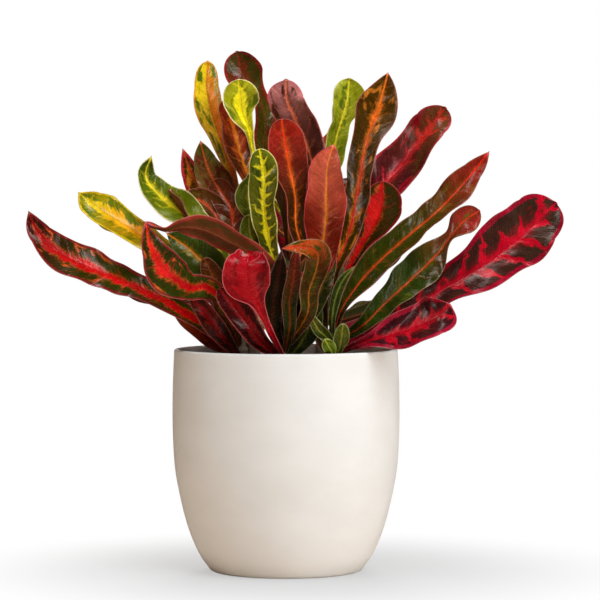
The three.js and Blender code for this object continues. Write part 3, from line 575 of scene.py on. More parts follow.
def whorl_leaf(whorl, index, order):
    stem, _, foot, rise, azimuth, step, length, change, steep, droop, half = whorl
    start = foot_row(stem, foot + rise * index, 0)
    heading = math.radians(azimuth + step * index)
    reach = length + change * fraction(index * GOLDEN)
    out = math.cos(math.radians(steep)) * reach
    climb = math.sin(math.radians(steep)) * reach
    rib = [start]
    for share, width in WHORL_OUTLINE:
        rib.append([start[0] + out * share * math.cos(heading),
                    start[1] + out * share * math.sin(heading),
                    start[2] + climb * share - droop * reach * share ** 2, 0, half * width])
    look = WHORL_LOOKS[order % len(WHORL_LOOKS)]
    return new_leaf(stem, "round", index, UPWARDS, rib, look, WHORL_SEEDS, order)


def all_leaves():
    leaves = [front_leaf(row, i) for i, row in enumerate(FRONT_LEAVES)]
    leaves += [partner_leaf(name, i) for i, name in enumerate(PARTNERED)]
    places = [(whorl, index) for whorl in WHORLS for index in range(whorl[1])]
    return leaves + [whorl_leaf(*place, order) for order, place in enumerate(places)]


def stations_of(rib):
    spans = len(rib) - 1
    span = np.repeat(np.arange(spans - 1), SPAN_STEPS)
    share = np.tile(np.arange(SPAN_STEPS) / SPAN_STEPS, spans - 1)
    tip = np.sin(np.pi / 2 * np.arange(TIP_STEPS + 1) / TIP_STEPS)
    return np.append(span, np.full(len(tip), spans - 1)), np.append(share, tip)


def half_widths(leaf, rows, span, share):
    last_span = len(leaf.rib) - 2
    fullness, roundness = TIP_FORMS[leaf.tip]
    tip = leaf.rib[last_span, 4] * (1 - share ** fullness) ** roundness
    return np.where(span == last_span, np.maximum(TIP_HALF_WIDTH, tip),
                    np.maximum(rows[:, 4], LEAST_HALF_WIDTH))


def frames_along(leaf, span, share, turn):
    ahead = along_rows(leaf.rib, span, np.minimum(share + NUDGE, 1))[:, :3]
    behind = along_rows(leaf.rib, span, np.maximum(share - NUDGE, 0))[:, :3]
    along = unit(ahead - behind)
    square = unit(leaf.facing - along * (along @ leaf.facing)[:, None])
    beside = np.cross(along, square)
    angle = np.radians(turn)[:, None]
    upper = square * np.cos(angle) + beside * np.sin(angle)
    return np.cross(along, upper), upper


def blade_lift(leaf, half, side, way, distance):
    """Rise of the blade off its rib: the fold, the ripple and the flutter of its edges."""
    fold = LEAST_FOLD + FOLD_SPREAD * fraction(leaf.index * GOLDEN)
    phase = WAVES * way + GOLDEN * leaf.index + RIPPLE_LAG * side
    lift = half * (fold * np.abs(side) ** FOLD_POWER
                   + RIPPLE * side ** 2 * np.sin(2 * np.pi * phase))
    pace = distance / FLUTTER_LENGTH + FLUTTER_DRIFT * np.sin(distance / DRIFT_LENGTH + leaf.seed)
    flutter = np.sin(2 * np.pi * (pace + GOLDEN * leaf.seed + FLUTTER_LAG * np.sign(side)))
    return lift + FLUTTER * half * np.abs(side) ** FLUTTER_POWER * flutter


def blade_depths(half, side, way):
    """How far the upper and the lower face lie from the blade's middle."""
    stalk = np.clip(1 - (half - STALK_HALF) / STALK_FADE, 0, 1)
    blade = RIB_THICKNESS + (EDGE_THICKNESS - RIB_THICKNESS) * np.abs(side)
    round_stalk = STALK_DEPTH * half * np.sqrt(np.maximum(1 - side ** 2, STALK_EDGE))
    thick = blade + (np.maximum(round_stalk, blade) - blade) * stalk
    fade = np.clip(half / RIB_FADE_HALF, 0, 1) * np.clip((1 - way) * RIB_FADE_TIP, 0, 1)
    groove = GROOVE_DEPTH * bell(side * half, GROOVE_HALF) * fade
    keel = KEEL_DEPTH * bell(side * half, KEEL_HALF) * np.clip(fade + LEAST_KEEL, 0, 1)
    return thick / 2 - groove, thick / 2 + keel


def leaf_surface(leaf):
    """Vertices of the upper and the lower face, and the values that the markings follow."""
    span, share = stations_of(leaf.rib)
    rows = along_rows(leaf.rib, span, share)
    half = half_widths(leaf, rows, span, share)[:, None]
    across, upper = frames_along(leaf, span, share, rows[:, 3])
    way = ((span + share) / (len(leaf.rib) - 1))[:, None]
    side = SIDE_STATIONS[None, :]
    steps = np.linalg.norm(np.diff(rows[:, :3], axis=0), axis=1)
    distance = np.append(0, np.cumsum(steps))[:, None]
    wander = distance / WANDER_LENGTH + leaf.seed + WANDER_LAG * np.sign(side)
    reach = half * side * (1 + WANDER * np.abs(side) * np.sin(2 * np.pi * wander))
    lift = blade_lift(leaf, half, side, way, distance)
    middle = (rows[:, None, :3] + across[:, None] * reach[..., None]
              + upper[:, None] * lift[..., None])
    above, below = blade_depths(half, side, way)
    top = middle + upper[:, None] * above[..., None]
    bottom = middle - upper[:, None] * below[..., None]
    return top, bottom, np.broadcast_arrays(way, side, half, distance)


def leaf_faces(rows):
    """Quads of the upper face, of the lower face, and of the edge between them."""
    under = rows * len(SIDE_STATIONS)
    index = np.arange(under).reshape(rows, -1)
    corners = [index[:-1, :-1], index[:-1, 1:], index[1:, 1:], index[1:, :-1]]
    upper = np.stack(corners, -1).reshape(-1, 4)
    rim = np.concatenate([index[0, :-1], index[:-1, -1], index[-1, :0:-1], index[:0:-1, 0]])
    onward = np.roll(rim, -1)
    edge = np.stack([rim, rim + under, onward + under, onward], axis=1)
    return np.vstack([upper, upper[:, ::-1] + under, edge]).tolist()


COLOUR_MARKS = ("ground", "band", "patch", "margin", "underside")
VECTOR_MARKS = ("place", "reach", "pattern", "trim")


def leaf_marks(leaf, way, side, half, distance):
    """Colours and pattern values at each vertex of one face."""
    colours, width, lean, veins, patches, margin_width, lobes, pitch = LOOKS[leaf.look]
    base, end, band, band_end, patch, margin, underside = map(linear, colours.split())
    ease = np.clip((way - TIP_COLOUR[0]) / (TIP_COLOUR[1] - TIP_COLOUR[0]), 0, 1)[..., None]
    ease = ease * ease * (3 - 2 * ease)
    taper = (np.clip((1 - way) * BAND_TIP[0], BAND_TIP[1], 1)
             * np.clip(way * BAND_FOOT[0], BAND_FOOT[1], 1))
    band_width = width * (1 + lean * np.sign(side)) * taper
    marks = {
        "ground": base * (1 - ease) + end * ease, "band": band * (1 - ease) + band_end * ease,
        "patch": patch, "margin": margin, "underside": underside}
    triples = {
        "place": (distance / 10, side, leaf.seed), "reach": (half, way, 0),
        "pattern": (band_width, veins, patches), "trim": (margin_width, lobes, pitch)}
    for name, values in triples.items():
        marks[name] = np.stack([value + 0 * way for value in values], -1)
    return {name: np.broadcast_to(value, (*way.shape, 3)).reshape(-1, 3)
            for name, value in marks.items()}


def leaf_part(leaf):
    top, bottom, around = leaf_surface(leaf)
    upper = leaf_marks(leaf, *around)
    lower = {**upper, "reach": upper["reach"] + [0, 0, 1]}
    marks = {name: np.vstack([upper[name], lower[name]]) for name in upper}
    return np.vstack([*top, *bottom]), leaf_faces(len(top)), marks, 0


# Woody stems, with a swelling under each leaf and a bud on top

def ring_angles(sides):
    return 2 * np.pi * np.arange(sides) / sides


def ring_quads(rings, sides):
    """Quads between the rings of a round form."""
    a = np.arange(rings - 1)[:, None] * sides
    k = np.arange(sides)
    onward = (k + 1) % sides
    quads = [a + k, a + onward, a + sides + onward, a + sides + k]
    return np.stack(quads, -1).reshape(-1, 4).tolist()


def round_faces(rings, sides):
    """Faces of a round form: its rings, then a fan to the lower and one to the upper end."""
    k = np.arange(sides)
    onward = (k + 1) % sides
    last, ends = (rings - 1) * sides, 0 * k + rings * sides
    return [*ring_quads(rings, sides), *np.stack([onward, k, ends], 1).tolist(),
            *np.stack([last + k, last + onward, ends + 1], 1).tolist()]


def stem_part(stem, feet):
    top, radius = STEMS[stem][2:]
    heights = np.concatenate([[STEM_FOOT], np.linspace(SOIL_TOP - STEM_SUNK, top, STEM_RINGS),
                              top + BUD * BUD_HEIGHTS])
    share = np.clip((heights - SOIL_TOP) / (top - SOIL_TOP), 0, 1)
    radii = radius * (1 + (STEM_TAPER - 1) * share)
    for foot in feet:
        radii = radii * (1 + NODE_SWELLING * bell(heights - foot + NODE_DROP, NODE_HALF))
    radii[-len(BUD_RADII):] *= BUD_RADII
    angles = ring_angles(STEM_SIDES)
    centres = np.array([stem_point(stem, min(h, top)) * [1, 1, 0] + [0, 0, h] for h in heights])
    wobble = np.sin(STEM_FLUTES * angles + heights[:, None] * STEM_TWIST)
    rings = radii[:, None] * (1 + STEM_WOBBLE * wobble)
    points = np.stack([centres[:, 0, None] + rings * np.cos(angles),
                       centres[:, 1, None] + rings * np.sin(angles),
                       centres[:, 2, None] + 0 * rings], -1).reshape(-1, 3)
    marks = {name: np.zeros_like(points) for name in COLOUR_MARKS + VECTOR_MARKS}
    marks["reach"][:, 1] = np.repeat(share, STEM_SIDES)
    ends = [list(range(STEM_SIDES))[::-1], list(range(len(points) - STEM_SIDES, len(points)))]
    return points, ring_quads(len(heights), STEM_SIDES) + ends, marks, 1


def add_colours(mesh, name, values):
    layer = mesh.color_attributes.new(name, "FLOAT_COLOR", "POINT")
    layer.data.foreach_set("color", np.hstack([values, np.ones((len(values), 1))]).ravel())


def put_mesh(name, parts, materials, smooth_angle):
    """One object from several (vertices, faces, marks, material) parts."""
    faces, slots = [], []
    start = 0
    for vertices, part_faces, _, slot in parts:
        faces += [[start + i for i in face] for face in part_faces]
        slots += [slot] * len(part_faces)
        start += len(vertices)
    mesh = bpy.data.meshes.new(name)
    mesh.from_pydata((np.vstack([part[0] for part in parts]) * MM).tolist(), [], faces)
    for material in materials:
        mesh.materials.append(material)
    mesh.polygons.foreach_set("material_index", slots)
    for mark in parts[0][2]:
        values = np.vstack([part[2][mark] for part in parts])
        if mark in VECTOR_MARKS:
            layer = mesh.attributes.new(mark, "FLOAT_VECTOR", "POINT")
            layer.data.foreach_set("vector", values.ravel())
        else:
            add_colours(mesh, mark, values)
    mesh.validate()
    mesh.shade_smooth()
    mesh.set_sharp_from_angle(angle=math.radians(smooth_angle))
    piece = bpy.data.objects.new(name, mesh)
    bpy.context.scene.collection.objects.link(piece)
    return piece


# Shader wiring

def reckoned(operation, other_first=False):
    """A method that joins a field and another value in a Math node."""
    def method(self, other):
        pair = (other, self) if other_first else (self, other)
        return self.wiring.math(operation, *pair)
    return method


class Field:
    """A value that changes over a surface: the socket of a node, ready to be reckoned with."""

    def __init__(self, wiring, socket):
        self.wiring, self.socket = wiring, socket

    def __abs__(self):
        return self.wiring.math("ABSOLUTE", self)

    __add__ = reckoned("ADD")
    __radd__ = reckoned("ADD", True)
    __sub__ = reckoned("SUBTRACT")
    __rsub__ = reckoned("SUBTRACT", True)
    __mul__ = reckoned("MULTIPLY")
    __rmul__ = reckoned("MULTIPLY", True)
    __truediv__ = reckoned("DIVIDE")
    __pow__ = reckoned("POWER")


class Wiring:
    """Adds nodes to a tree and joins them. Any value may be a field, a number or a colour."""

    def __init__(self, tree):
        self.tree = tree

    def feed(self, socket, value):
        if isinstance(value, Field):
            self.tree.links.new(value.socket, socket)
        else:
            socket.default_value = value

    def node(self, kind, inputs, **settings):
        """Makes and feeds a node, and gives its outputs as fields, by number and by name."""
        made = self.tree.nodes.new("ShaderNode" + kind)
        for key, value in settings.items():
            setattr(made, key, value)
        for key, value in inputs.items():
            self.feed(made.inputs[key], value)
        fields = [Field(self, socket) for socket in made.outputs]
        return {**dict(enumerate(fields)), **{field.socket.name: field for field in fields}}

    def math(self, operation, *values):
        return self.node("Math", dict(enumerate(values)), operation=operation)[0]

    def ramp(self, value, low, high, to_low=0.0, to_high=1.0):
        return self.node("MapRange", {"Value": value, "From Min": low, "From Max": high,
                                      "To Min": to_low, "To Max": to_high},
                         interpolation_type="SMOOTHSTEP")["Result"]

    def mix(self, share, a, b, blend="MIX"):
        return self.node("Mix", {0: share, 6: a, 7: b}, data_type="RGBA", blend_type=blend)[2]

    def vector(self, x, y, z):
        return self.node("CombineXYZ", {"X": x, "Y": y, "Z": z})[0]

    def apart(self, vector):
        made = self.node("SeparateXYZ", {"Vector": vector})
        return made["X"], made["Y"], made["Z"]

    def noise(self, vector, detail, rough=0.5, scale=1.0):
        return self.node("TexNoise", {"Vector": vector, "Scale": scale, "Detail": detail,
                                      "Roughness": rough})[0]

    def chance(self, vector):
        return self.node("TexWhiteNoise", {"Vector": vector})["Value"]

    def mark(self, name, output):
        return self.node("Attribute", {}, attribute_name=name)[output]

    def place(self):
        return self.node("TexCoord", {})["Object"]

    def bump(self, height, strength, distance):
        return self.node("Bump", {
            "Height": height, "Strength": strength, "Distance": distance})["Normal"]


def new_group(name, inputs, outputs):
    tree = bpy.data.node_groups.new(name, "ShaderNodeTree")
    for label, kind in inputs.items():
        tree.interface.new_socket(label, in_out="INPUT", socket_type="NodeSocket" + kind)
    for label in outputs:
        tree.interface.new_socket(label, in_out="OUTPUT", socket_type="NodeSocketFloat")
    w = Wiring(tree)
    entry = tree.nodes.new("NodeGroupInput").outputs
    leave = tree.nodes.new("NodeGroupOutput").inputs
    return w, [Field(w, entry[label]) for label in inputs], leave


def leaf_pattern_group():
    """Croton markings: a lobed and spiked band on the rib and its fringe, flares along the side
    veins, blotches between them, a ragged margin and a thin rim. Lengths along the rib are in
    centimetres, and lengths off it in millimetres."""
    w, (place, reach, pattern, trim), leave = new_group(
        "leaf markings", dict.fromkeys(["Place", "Reach", "Pattern", "Trim"], "Vector"),
        ["Band", "Fringe", "Vein", "Patch", "Margin", "Rim", "Mottle", "Relief"])
    along, side, seed = w.apart(place)
    half, _, under = w.apart(reach)
    width, veins, patches = w.apart(pattern)
    margin_width, lobes, pitch = w.apart(trim)
    out = abs(side)
    off_rib = out * half
    to_edge = half - off_rib
    in_mm = along * 10
    half_seed = seed + w.math("SIGN", side) * 7.3

    # side veins: where each point lies between two of them
    wobble = w.noise(w.vector(along, side * 1.4, seed), 2, scale=1.3)
    raked = along - (off_rib * VEIN_RAKE + out * off_rib * VEIN_SWEEP)
    phase = raked * pitch + (wobble - 0.5) * VEIN_WOBBLE
    phase = phase + w.math("GREATER_THAN", side, 0) * VEIN_STAGGER
    off_vein = 1 - abs(w.math("FRACT", phase) - 0.5) * 2
    draw = w.chance(w.vector(w.math("FLOOR", phase + 0.5), half_seed, 0))

    # flares, each as long as its vein's draw
    longer = w.math("MAXIMUM", veins - 1, 0) * 0.7
    taper = 1 - out / (FLARE_LENGTH[0] + draw * FLARE_LENGTH[1] + longer)
    rag = w.noise(w.vector(in_mm * 0.55, off_rib * 0.5, seed), 3, 0.6)
    rag = (rag - 0.5) * (pitch * 0.65)
    taper = w.math("SIGN", taper) * abs(taper) ** FLARE_TAPER
    flare = w.ramp(off_vein + rag * 0.5 - taper * FLARE_WIDTH, -0.2, 0.14, 1, 0)

    # band along the rib and the fringe outside it
    lobe = w.noise(w.vector(phase * 0.45, out * 0.4, half_seed), 1)
    spike = w.noise(w.vector(phase * 1.7, out * 0.8, half_seed), 3, 0.6)
    edge = width * (1 + ((lobe - 0.5) * (lobes * LOBE_DEPTH) + (spike - 0.5) * SPIKE_DEPTH))
    beyond = out + rag * 0.2 - edge
    band = w.ramp(beyond, -0.11, 0.07, 1, 0)
    fringe = w.ramp(beyond, 0.03, 0.24, 1, 0) * w.ramp(rag, -0.1, 0.1)
    rib = w.ramp(off_rib, *RIB_LINE, 1, 0)

    # blotches in the blade, kept off the rib
    blotch = w.noise(w.vector(phase * 0.62, side * 1.9, seed * 3.7), 4, 0.55)
    over = blotch - (PATCH_LEVEL - patches * PATCH_SPREAD)
    patch = w.ramp(over, -0.045, 0.06) * w.ramp(off_rib, 0.5, 1.8)

    # margin, mottling and relief
    inner = to_edge - margin_width * (1 + (rag * 1.8 + (spike - 0.5) * 0.8))
    fine = w.noise(w.vector(in_mm * 0.9, off_rib * 0.9, seed), 4, 0.65)
    cloud = w.noise(w.vector(in_mm * 0.09, side * 1.1, seed + 9), 3)
    fibre = w.noise(w.vector(raked * 9.6, out * 1.2, half_seed), 2)
    swell = w.noise(w.vector(raked * 0.8, side * half * 0.045, seed + 4), 1.5)
    quilt = (1 - off_vein) ** 3 * (0.25 + draw * 0.6)
    height = quilt * RELIEF["quilt"] + fibre * RELIEF["fibre"] + rib * RELIEF["rib"]
    height = height * (1 - under * 1.7)
    height = height + (fine * RELIEF["fine"] + swell * RELIEF["swell"])

    results = {
        "Band": w.math("MAXIMUM", band, rib * 0.95), "Fringe": fringe, "Vein": veins * flare,
        "Patch": patch, "Margin": w.ramp(inner, -0.5, 0.4, 1, 0),
        "Rim": w.ramp(to_edge, *RIM_LINE, 1, 0),
        "Mottle": fine * 0.3 + cloud * 0.45 + fibre * 0.25, "Relief": height}
    for label, value in results.items():
        w.feed(leave[label], value)
    return w.tree


def grain_group():
    """Uneven tone and fine grain for anything that is baked, potted or grown."""
    w, (vector, scale, stretch), leave = new_group(
        "uneven grain", {"Vector": "Vector", "Scale": "Float", "Stretch": "Float"},
        ["Cloud", "Grain", "Height"])
    x, y, z = w.apart(vector)
    place = w.vector(x, y, z * stretch)
    cloud = w.noise(place, 4, 0.6, scale)
    grain = w.noise(place, 3, 0.7, scale * 14)
    w.feed(leave["Cloud"], cloud)
    w.feed(leave["Grain"], grain)
    w.feed(leave["Height"], cloud * 0.6 + grain * 0.4)
    return w.tree


def new_material(name, **values):
    material = bpy.data.materials.new(name)
    material.use_nodes = True
    shader = material.node_tree.nodes["Principled BSDF"].inputs
    for key, value in values.items():
        shader[key.replace("_", " ")].default_value = value
    return material, Wiring(material.node_tree), shader


def grained_material(name, grain, scale, stretch, roughness, strength, distance):
    """A material whose roughness and bump follow the grain; its colour is still to come."""
    material, w, shader = new_material(name)
    made = w.node("Group", {"Vector": w.place(), "Scale": scale, "Stretch": stretch},
                  node_tree=grain)
    w.feed(shader["Roughness"], w.ramp(made["Grain"], 0.3, 0.7, *roughness))
    w.feed(shader["Normal"], w.bump(made["Height"], strength, distance))
    return material, w, shader, made


def leaf_material(pattern):
    material, w, shader = new_material("croton_leaf", Coat_Roughness=0.12,
                                       Specular_Tint=(1.0, 0.83, 0.77, 1))
    marks = w.node("Group", {mark.capitalize(): w.mark(mark, "Vector") for mark in VECTOR_MARKS},
                   node_tree=pattern)
    ground, band, patch, margin, underside = [w.mark(mark, "Color") for mark in COLOUR_MARKS]
    under = w.apart(w.mark("reach", "Vector"))[2]
    colour = w.mix(marks["Patch"], ground, patch)
    colour = w.mix(marks["Margin"], colour, margin)
    colour = w.mix(marks["Fringe"] * 0.8, colour, patch)
    colour = w.mix(marks["Vein"] * 0.9, colour, band)
    colour = w.mix(marks["Band"], colour, band)
    shade = w.ramp(marks["Mottle"], 0.34, 0.66, 0.68, 1.3)
    colour = w.mix(1, colour, w.vector(shade, shade, shade), "MULTIPLY")
    colour = w.mix(marks["Rim"] * 0.75, colour, w.mix(0.22, margin, RIM_PALE))
    colour = w.mix(under, colour, w.mix(0.5, underside, colour))
    w.feed(shader["Base Color"], colour)
    w.feed(shader["Roughness"], w.ramp(marks["Mottle"], 0.35, 0.65, 0.15, 0.33) + under * 0.16)
    w.feed(shader["Coat Weight"], w.ramp(under, 0, 1, 0.25, 0))
    w.feed(shader["Normal"], w.bump(marks["Relief"], 0.6, 0.0008))
    return material


def bark_material(grain):
    material, w, shader, made = grained_material(
        "stem_bark", grain, 260, 0.22, (0.55, 0.8), 0.6, 0.0008)
    tone = w.ramp(made["Cloud"], 0.35, 0.65)
    height = w.apart(w.mark("reach", "Vector"))[1]
    age = w.ramp(height + made["Cloud"] * 0.3, 0.45, 0.95)
    w.feed(shader["Base Color"], w.mix(age, w.mix(tone, *OLD_BARK), w.mix(tone, *YOUNG_BARK)))
    return material


def ceramic_material(grain):
    material, w, shader, made = grained_material(
        "matte_ceramic", grain, 26, 1.6, (0.42, 0.58), 0.16, 0.0006)
    colour = w.mix(w.ramp(made["Cloud"], 0.3, 0.7), *CERAMIC)
    fleck = w.ramp(made["Grain"], 0.66, 0.78) * 0.22
    w.feed(shader["Base Color"], w.mix(fleck, colour, CERAMIC_FLECK))
    return material


def soil_material(grain):
    material, w, shader, made = grained_material(
        "potting_soil", grain, 420, 1, (0.8, 0.98), 0.9, 0.0012)
    colour = w.mix(w.ramp(made["Cloud"], 0.35, 0.65), *POTTING_MIX)
    w.feed(shader["Base Color"], w.mix(0.5, colour, w.mark("tone", "Color")))
    return material


# Planter: one turned wall with a rounded lip and foot

def outer_wall():
    spans = len(POT_OUTLINE) - 1
    span = np.append(np.repeat(np.arange(spans), POT_STEPS), spans - 1)
    share = np.append(np.tile(np.arange(POT_STEPS) / POT_STEPS, spans), 1.0)
    return along_rows(POT_OUTLINE, span, share)


def inset(wall, distance):
    ends = np.clip(np.arange(len(wall))[:, None] + [[-1, 1]], 0, len(wall) - 1)
    along = unit(wall[ends[:, 1]] - wall[ends[:, 0]])
    return wall + distance * np.stack([-along[:, 1], along[:, 0]], 1)


def turned_form(profile, sides):
    """Vertices and faces of an outline, turned about the axis that it starts and ends on."""
    angles = ring_angles(sides)
    radii, heights = profile[1:-1].T
    rings = np.stack([radii[:, None] * np.cos(angles), radii[:, None] * np.sin(angles),
                      heights[:, None] + 0 * angles], -1).reshape(-1, 3)
    ends = [[0, 0, profile[0][1]], [0, 0, profile[-1][1]]]
    return np.vstack([rings, ends]), round_faces(len(radii), sides)


def planter():
    outside = outer_wall()
    inside = inset(outside, WALL)
    inside = inside[inside[:, 1] > FLOOR + FLOOR_CORNER]
    lip_radius = WALL / 2
    angle = np.pi * np.arange(1, LIP_STEPS) / LIP_STEPS
    lip = np.stack([outside[-1, 0] - lip_radius + lip_radius * np.cos(angle),
                    POT_HEIGHT - lip_radius * (1 - np.sin(angle))], 1)
    foot = [[0, 0], [FOOT_RADIUS, 0], *[[FOOT_RADIUS + out, up] for out, up in FOOT_ROUNDING]]
    floor = [[inside[0, 0] - FLOOR_CORNER, FLOOR], [0, FLOOR]]
    return turned_form(np.vstack([foot, outside, lip, inside[::-1], floor]), POT_SIDES)


# Soil: a crumbly crown with chips of bark and a few pale grains lying on it

def swelling(points):
    """Seeded sum of sine waves, smooth and without direction."""
    draw = np.random.default_rng(SOIL_SEED)
    total = np.zeros(len(points))
    for octave in range(SWELLS["octaves"]):
        for _ in range(SWELLS["waves"]):
            heading = draw.uniform(0, 2 * np.pi)
            waves = np.array([math.cos(heading), math.sin(heading)])
            waves = waves * SWELLS["pace"] * SWELLS["finer"] ** octave
            start = draw.uniform(0, SWELLS["start"])
            total += np.sin(points @ waves + start) * SWELLS["weaker"] ** octave
    return total / SWELLS["waves"]


def soil_height(points):
    radius = np.linalg.norm(points, axis=1) / SOIL_RADIUS
    crown = SOIL_TOP + SOIL_CROWN * (1 - np.minimum(radius, 1) ** 2)
    calm = np.clip((1 - radius) * SOIL_CALM, 0, 1)
    return crown - SOIL_SINK + SOIL_RELIEF * swelling(points) * calm


def soil_bed():
    wall = inset(outer_wall(), WALL + SOIL_GAP)
    wall = wall[(wall[:, 1] > SOIL_BASE) & (wall[:, 1] < SOIL_TOP - SOIL_CORNER)]
    rim = np.linspace(SOIL_RADIUS, 0, SOIL_RINGS)[:, None]
    crown = np.hstack([rim, 0 * rim + SOIL_TOP])
    base = [[0, SOIL_UNDERSIDE], [wall[0, 0] - SOIL_CORNER, SOIL_UNDERSIDE]]
    vertices, faces = turned_form(np.vstack([base, wall, crown]), SOIL_SIDES)
    upper = vertices[:, 2] > SOIL_TOP - 1
    vertices[upper, 2] = soil_height(vertices[upper, :2])
    return vertices, faces


def crumb_form(draw, size, flatness):
    """A small lump: a ball of three rings and two ends with every point moved."""
    rings = [[math.sqrt(1 - z * z) * np.cos(a), math.sqrt(1 - z * z) * np.sin(a), z]
             for z in CRUMB_LEVELS for a in ring_angles(CRUMB_SIDES)]
    points = np.array([*rings, [0, 0, -1], [0, 0, 1]])
    swollen = draw.uniform(*CRUMB_LUMPS, (len(points), 1)) * size
    return points * (swollen * [1, draw.uniform(*CRUMB_WIDTHS), flatness])


def soil_parts():
    """The soil's parts and the colour of each vertex."""
    draw = np.random.default_rng(CRUMB_SEED)
    parts = [(*soil_bed(), {}, 0)]
    tones = [np.tile(SOIL_TONE, (len(parts[0][0]), 1))]
    for _ in range(CRUMBS):
        kind = draw.random()
        sizes, flats, tone = next(row[1:] for row in CRUMB_KINDS if kind < row[0])
        size = draw.uniform(*sizes)
        flat = draw.uniform(*flats)
        points = crumb_form(draw, size, flat)
        spin = draw.uniform(0, 2 * np.pi)
        turn = np.array([[math.cos(spin), -math.sin(spin), 0], [math.sin(spin), math.cos(spin), 0],
                         [0, 0, 1]])
        radius = (SOIL_RADIUS - CRUMB_CLEARANCE) * math.sqrt(draw.random())
        heading = draw.uniform(0, 2 * np.pi)
        spot = np.array([radius * math.cos(heading), radius * math.sin(heading)])
        height = soil_height(spot[None])[0] + CRUMB_RISE * size * flat
        faces = round_faces(len(CRUMB_LEVELS), CRUMB_SIDES)
        parts.append((points @ turn.T + [*spot, height], faces, {}, 0))
        tones.append(np.tile(np.array(tone) * draw.uniform(*CRUMB_SHADES), (len(points), 1)))
    return parts, np.vstack(tones)


def put_soil(material):
    parts, tones = soil_parts()
    piece = put_mesh("potting_soil_bed", parts, [material], smooth_angle=40)
    add_colours(piece.data, "tone", tones)
    return piece


# Pieces

grain = grain_group()
leaf_finish = leaf_material(leaf_pattern_group())
bark_finish = bark_material(grain)

pot_piece = put_mesh("ceramic_planter", [(*planter(), {}, 0)], [ceramic_material(grain)],
                     smooth_angle=60)
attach(pot_piece, "root")
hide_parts("pot")

soil_piece = put_soil(soil_material(grain))
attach(soil_piece, "root")
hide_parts("soil")

leaves = all_leaves()
for stem_name in STEMS:
    own = [leaf for leaf in leaves if leaf.stem == stem_name]
    feet = [leaf.rib[0, 2] for leaf in own]
    parts = [leaf_part(leaf) for leaf in own] + [stem_part(stem_name, feet)]
    branch = put_mesh(stem_name + "_leafy_stem", parts, [leaf_finish, bark_finish],
                      smooth_angle=58)
    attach(branch, "root")
    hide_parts(stem_name + "_stem")


# Stage, light and camera

def floor_material():
    """White surface with a painted shadow that makes it a little darker by the pot, and fades into
    the white beyond. Seen from the pot and the leaves it is warmer and darker, as the room round
    them."""
    material, w, shader = new_material("pale_floor", Roughness=0.9)
    nodes = material.node_tree.nodes
    x, y, _ = w.apart(w.place())
    x = x - FLOOR_CENTRE
    away = w.math("SQRT", x * x + y * y)
    path = w.node("LightPath", {})
    seen = path["Is Camera Ray"]
    w.feed(shader["Base Color"], w.mix(seen, FLOOR_BOUNCE, FLOOR_COLOUR))
    lit = Field(w, nodes["Principled BSDF"].outputs[0])
    # Emission seen by the camera, dimmer near the pot: a painted shadow round its foot.
    white = w.node("Emission", {"Color": WHITE, "Strength": w.ramp(away, *FLOOR_PAINTED_SHADOW)})
    surface = w.node("MixShader", {
        0: seen * w.ramp(away, *FLOOR_FADE), 1: lit, 2: white[0]})
    dim = w.node("Emission", {"Color": ROOM_TINT, "Strength": ROOM_LIGHT[1]})
    mirrored = w.node("MixShader", {0: path["Is Glossy Ray"], 1: surface[0], 2: dim[0]})
    w.feed(nodes["Material Output"].inputs["Surface"], mirrored[0])
    return material


def round_floor():
    """A disc of rings that lie closer together towards the pot."""
    reaches = FLOOR_RADIUS * (np.arange(1, FLOOR_RINGS + 1) / FLOOR_RINGS) ** 2
    points = [[r * math.cos(a), r * math.sin(a), 0]
              for r in reaches for a in ring_angles(FLOOR_SIDES)]
    centre = len(points)
    faces = [[k, (k + 1) % FLOOR_SIDES, centre] for k in range(FLOOR_SIDES)]
    faces += [quad[::-1] for quad in ring_quads(FLOOR_RINGS, FLOOR_SIDES)]
    return np.array([*points, [0, 0, 0]]), faces


floor = put_mesh("studio_floor", [(*round_floor(), {}, 0)], [floor_material()],
                 smooth_angle=50)


def area_light(name, place, size, power, colour, mirrored=False):
    """A lamp that lights surfaces, or one that is only mirrored in them."""
    lamp = bpy.data.lights.new(name, "AREA")
    lamp.shape = "RECTANGLE"
    lamp.size, lamp.size_y = size
    lamp.energy = power
    lamp.color = colour
    holder = bpy.data.objects.new(name, lamp)
    bpy.context.scene.collection.objects.link(holder)
    holder.location = place
    holder.visible_glossy = mirrored
    holder.visible_diffuse = not mirrored
    holder.rotation_euler = (LIT_CENTRE - Vector(place)).to_track_quat("-Z", "Y").to_euler()


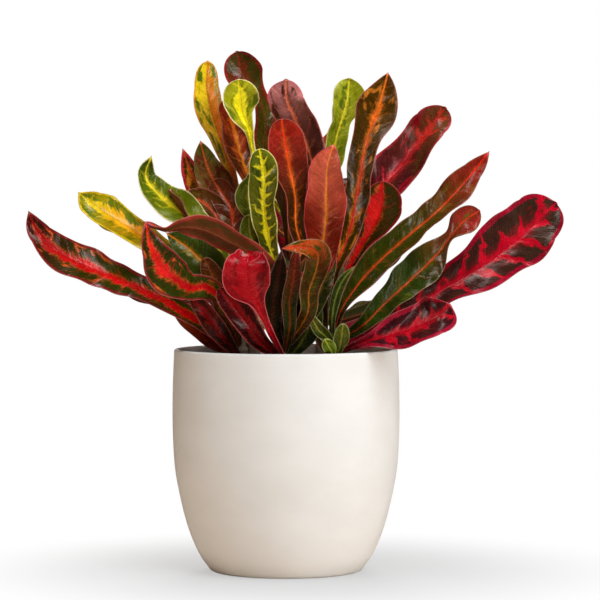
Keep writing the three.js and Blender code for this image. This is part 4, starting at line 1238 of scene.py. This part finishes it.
# Each lamp's name, place and size in metres, power, colour
area_light("key", (0.9, -1.5, 1.15), (1.2, 1.2), 29, (0.83, 0.93, 1.0))
area_light("overhead", (0.1, -0.45, 1.9), (1.0, 1.0), 23, (1.0, 1.0, 1.0))
area_light("back", (0.1, 1.85, 1.2), (1.0, 1.0), 36, (1.0, 1.0, 1.0))
area_light("fill_right", (1.7, -0.5, 0.4), (0.8, 0.8), 7, (0.92, 0.97, 1.0))
area_light("box_right", (0.9, -1.3, 1.35), (0.4, 0.6), 5.5, (1.0, 0.98, 0.97), True)
area_light("strip_left", (-1.35, -1.0, 0.85), (0.12, 0.5), 1.7, (1.0, 0.9, 0.86), True)
area_light("box_left", (-1.7, -0.3, 0.5), (0.3, 0.7), 4, (1.0, 0.92, 0.86), True)
area_light("box_high", (-0.8, -1.0, 1.6), (0.4, 0.4), 3.5, (1.0, 0.98, 0.97), True)
area_light("box_above", (0.1, 0.1, 1.9), (0.5, 0.5), 5, (1.0, 0.98, 0.96), True)
area_light("box_back", (-0.5, 1.5, 1.3), (0.4, 0.5), 4.5, (1.0, 0.98, 0.96), True)


def studio_world():
    """White to the camera, and a dim warm room to everything else."""
    world = bpy.data.worlds.new("studio")
    bpy.context.scene.world = world
    world.use_nodes = True
    w = Wiring(world.node_tree)
    nodes = world.node_tree.nodes
    path = w.node("LightPath", {})
    room = nodes["Background"]
    w.feed(room.inputs["Color"], ROOM_TINT)
    w.feed(room.inputs["Strength"], w.ramp(path["Is Glossy Ray"], 0, 1, *ROOM_LIGHT))
    white = w.node("Background", {"Color": WHITE, "Strength": 1})
    both = w.node("MixShader", {
        0: path["Is Camera Ray"], 1: Field(w, room.outputs[0]), 2: white[0]})
    w.feed(nodes["World Output"].inputs["Surface"], both[0])


studio_world()

camera_data = bpy.data.cameras.new("camera")
camera_data.sensor_width = SENSOR
camera_data.lens = SENSOR * FOCAL_PIXELS / PICTURE
camera_data.clip_end = 100
camera = bpy.data.objects.new("camera", camera_data)
bpy.context.scene.collection.objects.link(camera)
eye = Vector((0, -VIEW_DISTANCE * MM, VIEW_HEIGHT * MM))
aim = Vector((POT_AXIS_OFFSET / FOCAL_PIXELS * VIEW_DISTANCE * MM, 0, SIGHT_HEIGHT * MM))
camera.location = eye
camera.rotation_euler = (aim - eye).to_track_quat("-Z", "Y").to_euler()
bpy.context.scene.camera = camera
bpy.context.scene.view_settings.view_transform = "Standard"
